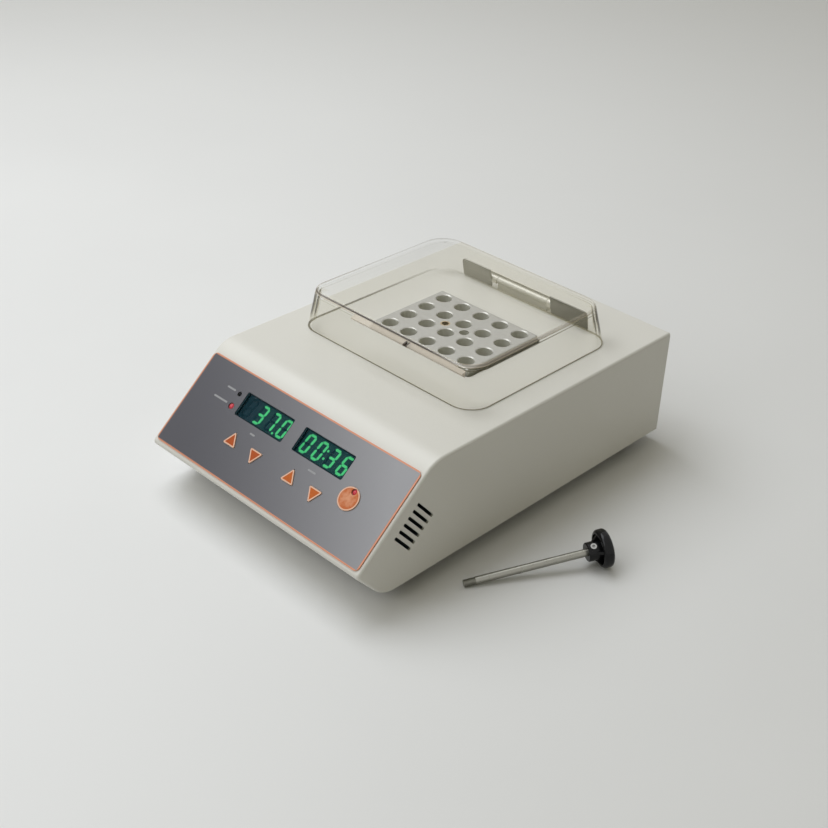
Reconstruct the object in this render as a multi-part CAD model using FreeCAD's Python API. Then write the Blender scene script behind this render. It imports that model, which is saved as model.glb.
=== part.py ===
"""Digital dry bath incubator with a hinged clear lid, one heating block and its lifting tool.

Millimetres, +Z up. The origin is the centre of the case's footprint, on the bench.
The front with the control panel faces -Y, and the lifting tool lies on the bench at +X.
"""

import FreeCAD
import Part

import math
import os

from FreeCAD import Vector

# Case, as a folded sheet housing
CASE_WIDTH = 200.0
CASE_DEPTH = 298.0
CASE_HEIGHT = 80.0
FOOT_HEIGHT = 9.0
WALL = 1.5
SLOPE_ANGLE = 41.0
UNDERCUT_ANGLE = 48.0
NOSE_HEIGHT = 25.5
NOSE_RADIUS = 3.0
BELLY_RADIUS = 22.0
BEND_RADIUS = 25.0
REAR_TOP_RADIUS = 2.5
EDGE_RADIUS = 2.0
FLANGE_THICKNESS = 1.5
FLANGE_WIDTH = 10.0
BASE_THICKNESS = 1.5
BASE_CLEARANCE = 0.3
REAR_THICKNESS = 1.5

# Cooling slots on both sides
VENT_COUNT = 6
VENT_PITCH = 4.86
VENT_FIRST_S = 32.7
VENT_DEPTH_N = -19.5
VENT_LENGTH = 20.4
VENT_WIDTH = 2.2

# Share by which places across the case follow its width
ACROSS = CASE_WIDTH / 200.0

# Control panel, in its own frame: x across, s up the slope, n out of it
OVERLAY_MARGIN = 2.5
OVERLAY_WIDTH = CASE_WIDTH - 2 * OVERLAY_MARGIN
OVERLAY_LENGTH = 70.0
OVERLAY_THICKNESS = 0.8
OVERLAY_BOTTOM_S = 3.5
OVERLAY_CORNER = 3.5
DISPLAY_CENTRES = (-29.0 * ACROSS, 27.5 * ACROSS)
DISPLAY_S = 52.9
DISPLAY_WIDTH = 45.7
DISPLAY_HEIGHT = 17.0
DISPLAY_CORNER = 1.2
WINDOW_THICKNESS = 2.3
WINDOW_RECESS = 0.1
FIT = 0.15
MODULE_FACE_N = -2.4
MODULE_OVERLAP = 1.1
SEGMENT_THICKNESS = 0.2
DIGIT_PITCH = 11.3
DIGIT_WIDTH = 7.0
DIGIT_HEIGHT = 14.0
DIGIT_SLANT = 8.0
SEGMENT_WIDTH = 1.7
SEGMENT_GAP = 0.2
POINT_DIAMETER = 1.6
KEY_S = 28.6
KEY_WIDTH = 11.3
KEY_CORNER = 0.8
KEY_POSITIONS = {
    "temp_up_key": -40.5 * ACROSS,
    "temp_down_key": -17.6 * ACROSS,
    "time_up_key": 16.1 * ACROSS,
    "time_down_key": 38.8 * ACROSS,
}
START_KEY_X = 63.2 * ACROSS
START_KEY_S = 37.4
START_KEY_DIAMETER = 15.5
START_LED_OFFSET = (0.9, 5.2)
START_LED_DIAMETER = 3.8
KEY_PROUD = 0.6
KEY_TRAVEL = 0.4
KEY_GAP = 0.3
KEY_STEM_DIAMETER = 3.6
LED_PROUD = 0.3
STATUS_LEDS = ((-57.8 * ACROSS, 57.2, 3.0), (-58.1 * ACROSS, 47.7, 4.2))
LED_CLEARANCE = 0.2

# Control board under the slope
BOARD_DEPTH_N = -12.0
BOARD_THICKNESS = 1.6
BOARD_X = (-78.0 * ACROSS, 82.0 * ACROSS)
BOARD_S = (12.0, 69.0)
BOARD_HOLE_INSET = 5.0
STANDOFF_DIAMETER = 5.5
BOARD_SCREW_DIAMETER = 3.0
SWITCH_SIZE = 6.0
SWITCH_HEIGHT = 3.5
PLUNGER_DIAMETER = 3.4
CONTROLLER_SIZE = (14.0, 14.0, 2.0)
CONTROLLER_PLACE = (0.0, 40.0)
REGULATOR_SIZE = (9.0, 7.0, 2.5)
REGULATOR_PLACE = (-30.0 * ACROSS, 44.0)
BUZZER_DIAMETER = 12.0
BUZZER_HEIGHT = 7.0
BUZZER_PLACE = (30.0 * ACROSS, 40.0)
CONNECTOR_SIZE = (16.0, 6.0, 9.0)
CONNECTOR_PLACE = (-58.0 * ACROSS, 52.0)

# Heating block and its chamber
BLOCK_X = 90.0
BLOCK_Y = 70.0
BLOCK_HEIGHT = 50.0
BLOCK_PROUD = 4.5
BLOCK_FROM_REAR = 114.5
BLOCK_EDGE = 1.0
WELL_COLUMNS = 5
WELL_ROWS = 4
WELL_PITCH = 17.8
WELL_DIAMETER = 11.2
WELL_DEPTH = 38.0
WELL_CHAMFER = 0.6
PROBE_DIAMETER = 6.8
PROBE_DEPTH = 36.0
INSERT_DIAMETER = 7.0
INSERT_LENGTH = 14.0
LIFT_THREAD = 5.0
BLOCK_GAP = 2.2
LINER_THICKNESS = 0.8
LINER_CORNER = 4.0
LINER_EAR = 19.0
PLATE_THICKNESS = 8.0
PLATE_GAP = 0.2
MAT_THICKNESS = 1.5
MAT_MARGIN = 4.0
INSULATION = 12.0
PAD_THICKNESS = 10.0
BRIDGE_THICKNESS = 1.5
BRIDGE_MARGIN = 14.0
BODY_GAP = 0.3
SENSOR_DIAMETER = 4.0
SENSOR_REACH = 25.0
SENSOR_TAIL = 24.0
CUTOUT_DIAMETER = 15.0
CUTOUT_HEIGHT = 8.0

# Clear lid
LID_BASE_X = 161.0
LID_AHEAD_OF_BLOCK = 70.1
LID_BEHIND_BLOCK = 72.3
LID_HEIGHT = 29.5
LID_TAPER_SIDE = 5.0
LID_TAPER_FRONT = 3.2
LID_TAPER_REAR = 5.8
LID_CORNERS_BASE = (15.0, 19.0, 18.0, 19.0)
LID_CORNERS_TOP = (12.0, 15.0, 13.5, 17.0)
LID_WALL = 2.5
LID_EDGE = 2.0
LID_GAP = 0.3
LIP_START_X = -28.5
LIP_BAR_LENGTH = 49.0
LIP_BAR_GAP = 1.8
LIP_HEIGHT = 4.4
LIP_DEPTH = 3.4
LIP_DROP = 2.0

# Hinge
LEAF_WIDTH = 117.0
LEAF_HEIGHT = 14.0
LEAF_THICKNESS = 1.0
LEAF_CORNER = 3.0
LEAF_LIFT = 0.4
LEAF_STRIP = 2.3
HINGE_X = -2.5
BARREL_LENGTH = 46.0
BARREL_DIAMETER = 4.8
HINGE_PIN_DIAMETER = 2.0
PIN_CLEARANCE = 0.05
PIN_BEHIND_WALL = 1.6
PIN_ABOVE_DECK = 7.0
EYE_WIDTH = 6.0
EYE_ROOT = 1.2
EYE_GAP = 0.4
BRACKET_LENGTH = 14.0
BRACKET_THICKNESS = 1.5
HINGE_SCREW_HEAD_HEIGHT = 2.0
HINGE_SCREW_END = 2.0

# Rear fittings
INLET_X = -58.0 * ACROSS
INLET_Z = 42.0
INLET_FLANGE = (31.0, 37.0)
INLET_BODY = (27.4, 33.0)
INLET_DEPTH = 27.0
INLET_FLANGE_THICKNESS = 2.5
SOCKET_SIZE = (24.4, 16.8)
SOCKET_DEPTH = 18.0
SOCKET_CHAMFER = 4.5
PIN_SIZE = (2.0, 4.0)
PIN_LENGTH = 16.0
PIN_TAB = 6.0
PIN_SPREAD = 7.0
PIN_RISE = 2.0
DRAWER_SIZE = (20.0, 8.4)
DRAWER_DEPTH = 23.0
FUSE_DIAMETER = 5.2
FUSE_LENGTH = 20.0
SWITCH_X = -22.0 * ACROSS
SWITCH_FLANGE = (21.0, 15.0)
SWITCH_BODY = (19.0, 12.8)
SWITCH_DEPTH = 18.0
ROCKER_SIZE = (14.6, 10.4)
ROCKER_TILT = 8.0

# Inner electronics
POWER_BOARD_X = (-84.0 * ACROSS, 10.0 * ACROSS)
POWER_BOARD_FROM_REAR = (36.0, 61.0)
POWER_BOARD_LIFT = 8.0
HEAT_SINK_X = -62.0 * ACROSS
HEAT_SINK_SIZE = (30.0, 26.0)
SPINE_THICKNESS = 3.0
FIN_REACH = 10.0
FIN_THICKNESS = 1.4
FIN_PITCH = 6.0
TRIAC_SIZE = (10.0, 4.5, 18.0)
CAPACITOR_DIAMETER = 10.0
CAPACITOR_HEIGHT = 16.0
CAPACITOR_X = (-38.0 * ACROSS, -26.0 * ACROSS)
TERMINAL_X = -10.0 * ACROSS
TERMINAL_WIDTH = 12.0
TERMINAL_HEIGHT = 12.0
CABLE_Z = 27.0
CONTROL_END_X = -45.5 * ACROSS
HEATER_LEAD_X = -20.0 * ACROSS
WINDING_OVERHANG = 7.0
TRANSFORMER_CORE = (46.0, 22.0, 38.0)
TRANSFORMER_X = 44.0 * ACROSS
TRANSFORMER_FOOT = 52.0
TRANSFORMER_FROM_REAR = 32.0

# Feet
FOOT_FROM_SIDE = 20.0
FOOT_FRONT_FROM_NOSE = 50.0
FOOT_REAR_FROM_REAR = 22.0
FOOT_TOP_DIAMETER = 18.0
FOOT_BOTTOM_DIAMETER = 15.0
FOOT_POCKET_DIAMETER = 9.0
FOOT_POCKET_DEPTH = 4.0

# Lifting tool
ROD_DIAMETER = 5.0
ROD_LENGTH = 81.5
ROD_THREAD_LENGTH = 7.2
THREAD_PITCH = 0.8
THREAD_DEPTH = 0.35
HUB_DIAMETER = 12.5
HUB_LENGTH = 8.0
HUB_CHAMFER = 0.5
KNOB_DIAMETER = 25.2
KNOB_THICKNESS = 7.0
KNOB_EDGE = 2.4
KNOB_RIM = 2.6
KNOB_RECESS = 3.0
RIB_COUNT = 4
RIB_THICKNESS = 2.0
RIB_RISE = 4.0
RIB_ROOT = 0.4
ROD_IN_KNOB = 12.0
TOOL_TIP = (118.9, -77.0)
TOOL_HEADING = 61.15
SET_SCREW_DIAMETER = 4.0
SET_SCREW_PROUD = 0.2
SET_SCREW_TURN = 23.0
SET_SCREW_KEY = 2.0
SET_SCREW_KEY_DEPTH = 2.0

FRONT = -CASE_DEPTH / 2
REAR = CASE_DEPTH / 2
UNDER = FOOT_HEIGHT
DECK = FOOT_HEIGHT + CASE_HEIGHT
X_AXIS = Vector(1, 0, 0)
Y_AXIS = Vector(0, 1, 0)
Z_AXIS = Vector(0, 0, 1)

os.makedirs("parts", exist_ok=True)


# General helpers

def box(x, y, z):
    """Box between pairs of limits."""
    corner = Vector(x[0], y[0], z[0])
    return Part.makeBox(x[1] - x[0], y[1] - y[0], z[1] - z[0], corner)


def around(centre, size):
    """Limits of a span of a given size about its centre."""
    return (centre - size / 2, centre + size / 2)


def cylinder(diameter, length, base, direction=Z_AXIS):
    return Part.makeCylinder(diameter / 2, length, base, direction)


def plate(size_x, size_y, corner, centre, thickness):
    """Flat plate with rounded corners, standing on its centre point."""
    solid = box(around(centre.x, size_x), around(centre.y, size_y), (centre.z, centre.z + thickness))
    upright = [edge for edge in solid.Edges if abs(edge.tangentAt(edge.FirstParameter).z) > 0.9]
    return solid.makeFillet(corner, upright)


def rounded_wire(points, radii):
    """Closed wire through corner points, each corner rounded by its own radius."""
    corners = []
    for index, point in enumerate(points):
        back = (points[index - 1] - point).normalize()
        ahead = (points[(index + 1) % len(points)] - point).normalize()
        half = back.getAngle(ahead) / 2
        reach = radii[index] / math.tan(half)
        middle = (back + ahead).normalize()
        centre = point + middle * (radii[index] / math.sin(half))
        corners.append((point + back * reach, centre - middle * radii[index], point + ahead * reach))
    edges = []
    for index, (start, top, end) in enumerate(corners):
        edges.append(Part.Arc(start, top, end).toShape())
        edges.append(Part.LineSegment(end, corners[(index + 1) % len(corners)][0]).toShape())
    return Part.Wire(edges)


def inset(points, distances):
    """Corner points of a YZ polygon moved inwards, each side by its own distance."""
    lines = []
    for index, point in enumerate(points):
        along = (points[(index + 1) % len(points)] - point).normalize()
        inward = X_AXIS.cross(along)
        lines.append((point + inward * distances[index], along))
    moved = []
    for index, (start, along) in enumerate(lines):
        before, before_along = lines[index - 1]
        gap = start - before
        reach = gap.cross(along).x / before_along.cross(along).x
        moved.append(before + before_along * reach)
    return moved


def extrude_x(wire, width):
    """Solid of a YZ outline, centred on X."""
    face = Part.Face(wire)
    face.translate(X_AXIS * (-width / 2))
    return face.extrude(X_AXIS * width)


def triangle(width, corner, centre, thickness, points_up):
    """Equilateral pad with rounded corners about its centroid."""
    sign = 1 if points_up else -1
    height = width * math.sqrt(3) / 2
    low = centre.y - sign * height / 3
    high = centre.y + sign * height * 2 / 3
    left = Vector(centre.x - width / 2, low, centre.z)
    right = Vector(centre.x + width / 2, low, centre.z)
    apex = Vector(centre.x, high, centre.z)
    wire = rounded_wire([left, right, apex], [corner] * 3)
    return Part.Face(wire).extrude(Z_AXIS * thickness)


def tube(points, diameter, bend):
    """Round lead along straight runs joined by tangent arcs."""
    edges = []
    start = points[0]
    for index in range(1, len(points) - 1):
        point = points[index]
        back = (points[index - 1] - point).normalize()
        ahead = (points[index + 1] - point).normalize()
        half = back.getAngle(ahead) / 2
        reach = bend / math.tan(half)
        middle = (back + ahead).normalize()
        centre = point + middle * (bend / math.sin(half))
        first = point + back * reach
        last = point + ahead * reach
        edges.append(Part.LineSegment(start, first).toShape())
        edges.append(Part.Arc(first, centre - middle * bend, last).toShape())
        start = last
    edges.append(Part.LineSegment(start, points[-1]).toShape())
    direction = points[1] - points[0]
    section = Part.Wire(Part.makeCircle(diameter / 2, points[0], direction))
    return Part.Wire(edges).makePipeShell([section], True, False)


def pan_screw(diameter, length, head, head_height, base, direction=Z_AXIS):
    """Screw with its head's top at the base point and its shank along the direction."""
    way = Vector(direction).normalize()
    top = cylinder(head, head_height, base, way)
    shank = cylinder(diameter, length, base + way * head_height, way)
    return top.fuse(shank).removeSplitter()


def save(name, *shapes):
    solids = [solid for shape in shapes for solid in shape.Solids]
    result = solids[0] if len(solids) == 1 else Part.makeCompound(solids)
    for solid in solids:
        if not solid.isValid():
            print("invalid solid in", name)
    result.exportStep("parts/" + name + ".step")
    print(name, len(solids), "solids, volume", round(sum(solid.Volume for solid in solids)))


# Frame of the sloping control panel

half_nose = math.radians(SLOPE_ANGLE + UNDERCUT_ANGLE) / 2
tilt_nose = math.radians(SLOPE_ANGLE - UNDERCUT_ANGLE) / 2
NOSE_Y = FRONT + NOSE_RADIUS - NOSE_RADIUS / math.sin(half_nose) * math.cos(tilt_nose)
NOSE_Z = UNDER + NOSE_HEIGHT
PANEL = FreeCAD.Placement(Vector(0, NOSE_Y, NOSE_Z), FreeCAD.Rotation(X_AXIS, SLOPE_ANGLE))


def on_panel(shape):
    """Move a shape drawn in the panel's frame (x, s, n) into the part's frame."""
    moved = shape.copy()
    moved.Placement = PANEL.multiply(shape.Placement)
    return moved


BLOCK_CENTRE_Y = REAR - BLOCK_FROM_REAR
BLOCK_TOP = DECK + BLOCK_PROUD
BLOCK_BOTTOM = BLOCK_TOP - BLOCK_HEIGHT
PLATE_TOP = BLOCK_BOTTOM - BODY_GAP
PLATE_BOTTOM = PLATE_TOP - PLATE_THICKNESS
MAT_BOTTOM = PLATE_BOTTOM - MAT_THICKNESS
PAD_BOTTOM = MAT_BOTTOM - PAD_THICKNESS
BRIDGE_BOTTOM = PAD_BOTTOM - BRIDGE_THICKNESS
BASE_TOP = UNDER + BASE_THICKNESS
LINER_X = BLOCK_X + 2 * BLOCK_GAP
LINER_Y = BLOCK_Y + 2 * BLOCK_GAP
JACKET_X = LINER_X + 2 * (LINER_THICKNESS + INSULATION)
JACKET_Y = LINER_Y + 2 * (LINER_THICKNESS + INSULATION)
FLANGE_TOP = DECK - WALL
FLANGE_UNDER = FLANGE_TOP - LINER_THICKNESS
MODULE_SIZE = (DISPLAY_WIDTH + 2 * MODULE_OVERLAP, DISPLAY_HEIGHT + 2 * MODULE_OVERLAP)
STUD_X = JACKET_X / 2 + 4.5
STUD_Y = LINER_Y / 2 - 8.0
STUD_DIAMETER = 3.0
STUD_LENGTH = 7.0
FOOT_X = CASE_WIDTH / 2 - FOOT_FROM_SIDE
FOOT_POSITIONS = [
    (x, y)
    for x in (-FOOT_X, FOOT_X)
    for y in (FRONT + FOOT_FRONT_FROM_NOSE, REAR - FOOT_REAR_FROM_REAR)
]
BRIDGE_X = LINER_X + 2 * BRIDGE_MARGIN
BRIDGE_Y = LINER_Y - 10.0
BRIDGE_POSTS = [
    (x, BLOCK_CENTRE_Y + y)
    for x in (-BRIDGE_X / 2 + 6.0, BRIDGE_X / 2 - 6.0)
    for y in (-BRIDGE_Y / 2 + 8.0, BRIDGE_Y / 2 - 8.0)
]
POST_DIAMETER = 8.0
POST_HOLE = 4.0
POST_SCREW = 3.6
POWER_Y = (REAR - POWER_BOARD_FROM_REAR[1], REAR - POWER_BOARD_FROM_REAR[0])
POWER_Z = BASE_TOP + POWER_BOARD_LIFT
TRANSFORMER_Y = REAR - TRANSFORMER_FROM_REAR
HINGE_SCREW_DIAMETER = 3.0
HINGE_SCREW_X = 20.0


def case_profile():
    """Corner points of the case's side outline, from the rear underside round by the nose."""
    rise = CASE_HEIGHT - NOSE_HEIGHT
    belly = NOSE_Y + NOSE_HEIGHT / math.tan(math.radians(UNDERCUT_ANGLE))
    bend = NOSE_Y + rise / math.tan(math.radians(SLOPE_ANGLE))
    return [
        Vector(0, REAR, UNDER),
        Vector(0, REAR, DECK),
        Vector(0, bend, DECK),
        Vector(0, NOSE_Y, NOSE_Z),
        Vector(0, belly, UNDER),
    ]


PROFILE = case_profile()
BELLY_END = PROFILE[4].y + BELLY_RADIUS * math.tan(math.radians(UNDERCUT_ANGLE) / 2)
BASE_FRONT = BELLY_END + 3.0
BASE_X = CASE_WIDTH - 2 * (WALL + BASE_CLEARANCE)
BASE_Y = (BASE_FRONT + BASE_CLEARANCE, REAR - BASE_CLEARANCE)
REAR_X = CASE_WIDTH - 2 * (WALL + BASE_CLEARANCE)
REAR_Z = (BASE_TOP + FLANGE_THICKNESS + BASE_CLEARANCE, DECK - WALL - BASE_CLEARANCE)
CAVITY_BOTTOM = BASE_TOP + FLANGE_THICKNESS
CAVITY_REAR = REAR - REAR_THICKNESS - FLANGE_THICKNESS
FLANGE_X = CASE_WIDTH / 2 - WALL - FLANGE_WIDTH
BASE_SCREW_X = CASE_WIDTH / 2 - WALL - FLANGE_WIDTH / 2
BASE_SCREW_Y = (BASE_FRONT + 18.0, BLOCK_CENTRE_Y - 30.0, REAR - 30.0)
REAR_SCREW_X = BASE_SCREW_X
REAR_SCREW_Z = (BASE_TOP + 18.0, DECK - 18.0)
SCREW_DIAMETER = 3.0
SCREW_HOLE = 3.0
SCREW_CLEARANCE = 3.4
SCREW_HEAD = 5.6
SCREW_HEAD_HEIGHT = 1.8
SCREW_END = 1.5


def case_screw_points():
    below = [(x, y) for x in (-BASE_SCREW_X, BASE_SCREW_X) for y in BASE_SCREW_Y]
    behind = [(x, z) for x in (-REAR_SCREW_X, REAR_SCREW_X) for z in REAR_SCREW_Z]
    return below, behind


def case_shell():
    radii = [0.4, REAR_TOP_RADIUS, BEND_RADIUS, NOSE_RADIUS, BELLY_RADIUS]
    outer = extrude_x(rounded_wire(PROFILE, radii), CASE_WIDTH)
    side = CASE_WIDTH / 2
    rim = []
    for edge in outer.Edges:
        on_side = all(abs(abs(vertex.X) - side) < 0.01 for vertex in edge.Vertexes)
        behind = all(vertex.Y > REAR - 0.6 for vertex in edge.Vertexes)
        if on_side and not behind:
            rim.append(edge)
    outer = outer.makeFillet(EDGE_RADIUS, rim)

    sides = [REAR - CAVITY_REAR, WALL, WALL, WALL, CAVITY_BOTTOM - UNDER]
    inner_radii = [1.0, 1.0, BEND_RADIUS - WALL, NOSE_RADIUS - WALL, BELLY_RADIUS - WALL]
    cavity = extrude_x(rounded_wire(inset(PROFILE, sides), inner_radii), CASE_WIDTH - 2 * WALL)
    shell = outer.cut(cavity)

    across = (-CASE_WIDTH / 2 + WALL, CASE_WIDTH / 2 - WALL)
    recess_below = box(across, (BASE_FRONT, REAR + 1), (UNDER - 1, BASE_TOP))
    opening_below = box(
        (-FLANGE_X, FLANGE_X),
        (BASE_FRONT + FLANGE_WIDTH, CAVITY_REAR - FLANGE_WIDTH),
        (UNDER - 1, CAVITY_BOTTOM + 1),
    )
    recess_behind = box(across, (REAR - REAR_THICKNESS, REAR + 1), (CAVITY_BOTTOM, DECK - WALL))
    opening_behind = box(
        (-FLANGE_X, FLANGE_X),
        (CAVITY_REAR - 1, REAR + 1),
        (CAVITY_BOTTOM + FLANGE_WIDTH, DECK - WALL - FLANGE_WIDTH),
    )
    centre = Vector(0, BLOCK_CENTRE_Y, FLANGE_TOP - 1)
    deck_opening = plate(LINER_X, LINER_Y, LINER_CORNER, centre, WALL + 2)
    shell = shell.cut([recess_below, opening_below, recess_behind, opening_behind, deck_opening])

    cuts = []
    for x in DISPLAY_CENTRES:
        centre = Vector(x, DISPLAY_S, -WALL - 1)
        width = DISPLAY_WIDTH + 2 * FIT
        height = DISPLAY_HEIGHT + 2 * FIT
        cuts.append(plate(width, height, DISPLAY_CORNER, centre, WALL + 2))
    for x, s in key_points():
        cuts.append(cylinder(KEY_STEM_DIAMETER + 2 * KEY_GAP, WALL + 2, Vector(x, s, -WALL - 1)))
    for x, s, diameter in led_points():
        cuts.append(cylinder(diameter + 2 * LED_CLEARANCE, WALL + 2, Vector(x, s, -WALL - 1)))
    for index in range(VENT_COUNT):
        for x in (-CASE_WIDTH / 2, CASE_WIDTH / 2):
            cuts.append(vent_cut(VENT_FIRST_S + index * VENT_PITCH, x))
    shell = shell.cut([on_panel(cut) for cut in cuts])

    below, behind = case_screw_points()
    holes = [cylinder(SCREW_HOLE, 4, Vector(x, y, UNDER)) for x, y in below]
    holes += [cylinder(SCREW_HOLE, 4, Vector(x, REAR, z), -Y_AXIS) for x, z in behind]
    holes += [
        cylinder(HINGE_SCREW_DIAMETER, WALL + 2, Vector(x, y, DECK - WALL - 1))
        for x, y in bracket_screws()
    ]
    return shell.cut(holes)


def vent_cut(s, x):
    """One slot through a side wall, square to the slope."""
    straight = VENT_LENGTH - VENT_WIDTH
    span = (x - 2 * WALL, x + 2 * WALL)
    middle = box(span, around(s, VENT_WIDTH), around(VENT_DEPTH_N, straight))
    ends = [
        cylinder(VENT_WIDTH, 4 * WALL, Vector(span[0], s, n), X_AXIS)
        for n in around(VENT_DEPTH_N, straight)
    ]
    return middle.fuse(ends)


def key_points():
    """Stem positions of the five keys."""
    return [(x, KEY_S) for x in KEY_POSITIONS.values()] + [(START_KEY_X, START_KEY_S)]


def led_points():
    """Position and diameter of each lamp on the panel."""
    start = (START_KEY_X + START_LED_OFFSET[0], START_KEY_S + START_LED_OFFSET[1], START_LED_DIAMETER)
    return list(STATUS_LEDS) + [start]


def base_plate():
    solid = box(around(0, BASE_X), BASE_Y, (UNDER, BASE_TOP))
    below, _ = case_screw_points()
    holes = [cylinder(SCREW_CLEARANCE, 4, Vector(x, y, UNDER - 1)) for x, y in below]
    holes += [cylinder(FOOT_SCREW_DIAMETER, 4, Vector(x, y, UNDER - 1)) for x, y in FOOT_POSITIONS]
    holes += [cylinder(POST_SCREW, 4, Vector(x, y, UNDER - 1)) for x, y in BRIDGE_POSTS]
    return solid.cut(holes)


def rear_panel():
    solid = box(around(0, REAR_X), (REAR - REAR_THICKNESS, REAR), REAR_Z)
    _, behind = case_screw_points()
    cuts = [cylinder(SCREW_CLEARANCE, 4, Vector(x, REAR + 1, z), -Y_AXIS) for x, z in behind]
    inlet_x = around(INLET_X, INLET_BODY[0] + 2 * FIT)
    inlet_z = around(INLET_Z, INLET_BODY[1] + 2 * FIT)
    cuts.append(box(inlet_x, (REAR - 4, REAR + 1), inlet_z))
    switch_x = around(SWITCH_X, SWITCH_BODY[0] + 2 * FIT)
    switch_z = around(INLET_Z, SWITCH_BODY[1] + 2 * FIT)
    cuts.append(box(switch_x, (REAR - 4, REAR + 1), switch_z))
    return solid.cut(cuts)


FOOT_SCREW_DIAMETER = 4.0
FOOT_SCREW_HEAD = 7.6
FOOT_SCREW_HEAD_HEIGHT = 2.6
NUT_DIAMETER = 8.0
NUT_HEIGHT = 3.0


def foot(x, y):
    body = Part.makeCone(FOOT_BOTTOM_DIAMETER / 2, FOOT_TOP_DIAMETER / 2, FOOT_HEIGHT, Vector(x, y, 0))
    body = body.cut(cylinder(FOOT_POCKET_DIAMETER, FOOT_POCKET_DEPTH, Vector(x, y, 0)))
    return body.cut(cylinder(FOOT_SCREW_DIAMETER, FOOT_HEIGHT, Vector(x, y, 0)))


def foot_screw(x, y):
    head_low = FOOT_POCKET_DEPTH - FOOT_SCREW_HEAD_HEIGHT
    shank = FOOT_HEIGHT - FOOT_POCKET_DEPTH + BASE_THICKNESS + NUT_HEIGHT + 1
    base = Vector(x, y, head_low)
    screw = pan_screw(FOOT_SCREW_DIAMETER, shank, FOOT_SCREW_HEAD, FOOT_SCREW_HEAD_HEIGHT, base)
    nut = cylinder(NUT_DIAMETER, NUT_HEIGHT, Vector(x, y, BASE_TOP))
    return screw.fuse(nut).removeSplitter()


def case_screws():
    below, behind = case_screw_points()
    length = BASE_THICKNESS + FLANGE_THICKNESS + SCREW_END
    lower = [
        pan_screw(SCREW_DIAMETER, length, SCREW_HEAD, SCREW_HEAD_HEIGHT,
                  Vector(x, y, UNDER - SCREW_HEAD_HEIGHT))
        for x, y in below
    ]
    rear = [
        pan_screw(SCREW_DIAMETER, length, SCREW_HEAD, SCREW_HEAD_HEIGHT,
                  Vector(x, REAR + SCREW_HEAD_HEIGHT, z), -Y_AXIS)
        for x, z in behind
    ]
    return lower, rear


# Control panel

def front_overlay():
    centre = Vector(0, OVERLAY_BOTTOM_S + OVERLAY_LENGTH / 2, 0)
    sheet = plate(OVERLAY_WIDTH, OVERLAY_LENGTH, OVERLAY_CORNER, centre, OVERLAY_THICKNESS)
    cuts = []
    for x in DISPLAY_CENTRES:
        window = Vector(x, DISPLAY_S, -1)
        cuts.append(plate(DISPLAY_WIDTH + 2 * FIT, DISPLAY_HEIGHT + 2 * FIT, DISPLAY_CORNER, window, 4))
    for name, x in KEY_POSITIONS.items():
        hole_width = KEY_WIDTH + 2 * KEY_GAP * math.sqrt(3)
        cuts.append(triangle(hole_width, KEY_CORNER, Vector(x, KEY_S, -1), 4, "up" in name))
    cuts.append(cylinder(START_KEY_DIAMETER + 2 * KEY_GAP, 4, Vector(START_KEY_X, START_KEY_S, -1)))
    for x, s, diameter in led_points()[:2]:
        cuts.append(cylinder(diameter + 2 * LED_CLEARANCE, 4, Vector(x, s, -1)))
    return on_panel(sheet.cut(cuts))


def display_window(x):
    top = OVERLAY_THICKNESS - WINDOW_RECESS
    centre = Vector(x, DISPLAY_S, top - WINDOW_THICKNESS)
    return on_panel(plate(DISPLAY_WIDTH, DISPLAY_HEIGHT, DISPLAY_CORNER, centre, WINDOW_THICKNESS))


def display_module(x):
    """Numeric display block between the board and its window."""
    height = MODULE_FACE_N - BOARD_DEPTH_N
    centre = Vector(x, DISPLAY_S, BOARD_DEPTH_N)
    return on_panel(plate(MODULE_SIZE[0], MODULE_SIZE[1], DISPLAY_CORNER, centre, height))


SEGMENTS = {
    "top": (0, 1, True),
    "middle": (0, 0, True),
    "bottom": (0, -1, True),
    "upper_left": (-1, 0.5, False),
    "upper_right": (1, 0.5, False),
    "lower_left": (-1, -0.5, False),
    "lower_right": (1, -0.5, False),
}
ALL_BUT_MIDDLE = ["top", "bottom", "upper_left", "upper_right", "lower_left", "lower_right"]
NUMERALS = {
    0: ALL_BUT_MIDDLE,
    3: ["top", "middle", "bottom", "upper_right", "lower_right"],
    6: ["top", "middle", "bottom", "upper_left", "lower_left", "lower_right"],
    7: ["top", "upper_right", "lower_right"],
}


def segment(name):
    """One bar of a numeral, as a hexagon with pointed ends."""
    across, up, lies = SEGMENTS[name]
    centre = Vector(across * (DIGIT_WIDTH - SEGMENT_WIDTH) / 2, up * (DIGIT_HEIGHT - SEGMENT_WIDTH) / 2, 0)
    span = DIGIT_WIDTH - SEGMENT_WIDTH if lies else (DIGIT_HEIGHT - SEGMENT_WIDTH) / 2
    tip = span / 2 - SEGMENT_GAP
    half = SEGMENT_WIDTH / 2
    upper = [(-tip, 0), (half - tip, half), (tip - half, half)]
    lower = [(tip, 0), (tip - half, -half), (half - tip, -half)]
    points = []
    for along, off in upper + lower:
        step = Vector(along, off, 0) if lies else Vector(off, along, 0)
        point = centre + step
        slant = point.y * math.tan(math.radians(DIGIT_SLANT))
        points.append(point + X_AXIS * slant)
    points.append(points[0])
    face = Part.Face(Part.makePolygon(points))
    solid = face.extrude(Z_AXIS * SEGMENT_THICKNESS)
    return solid


def numeral(value, x):
    """Lit bars of one numeral on a display."""
    bars = []
    for name in NUMERALS[value]:
        bar = segment(name)
        bar.translate(Vector(x, DISPLAY_S, MODULE_FACE_N))
        bars.append(on_panel(bar))
    return bars


def lit_points(x, offsets):
    """Round points beside the numerals, such as a decimal point or a colon."""
    return [
        on_panel(cylinder(POINT_DIAMETER, SEGMENT_THICKNESS, Vector(x, DISPLAY_S + s, MODULE_FACE_N)))
        for s in offsets
    ]


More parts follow.
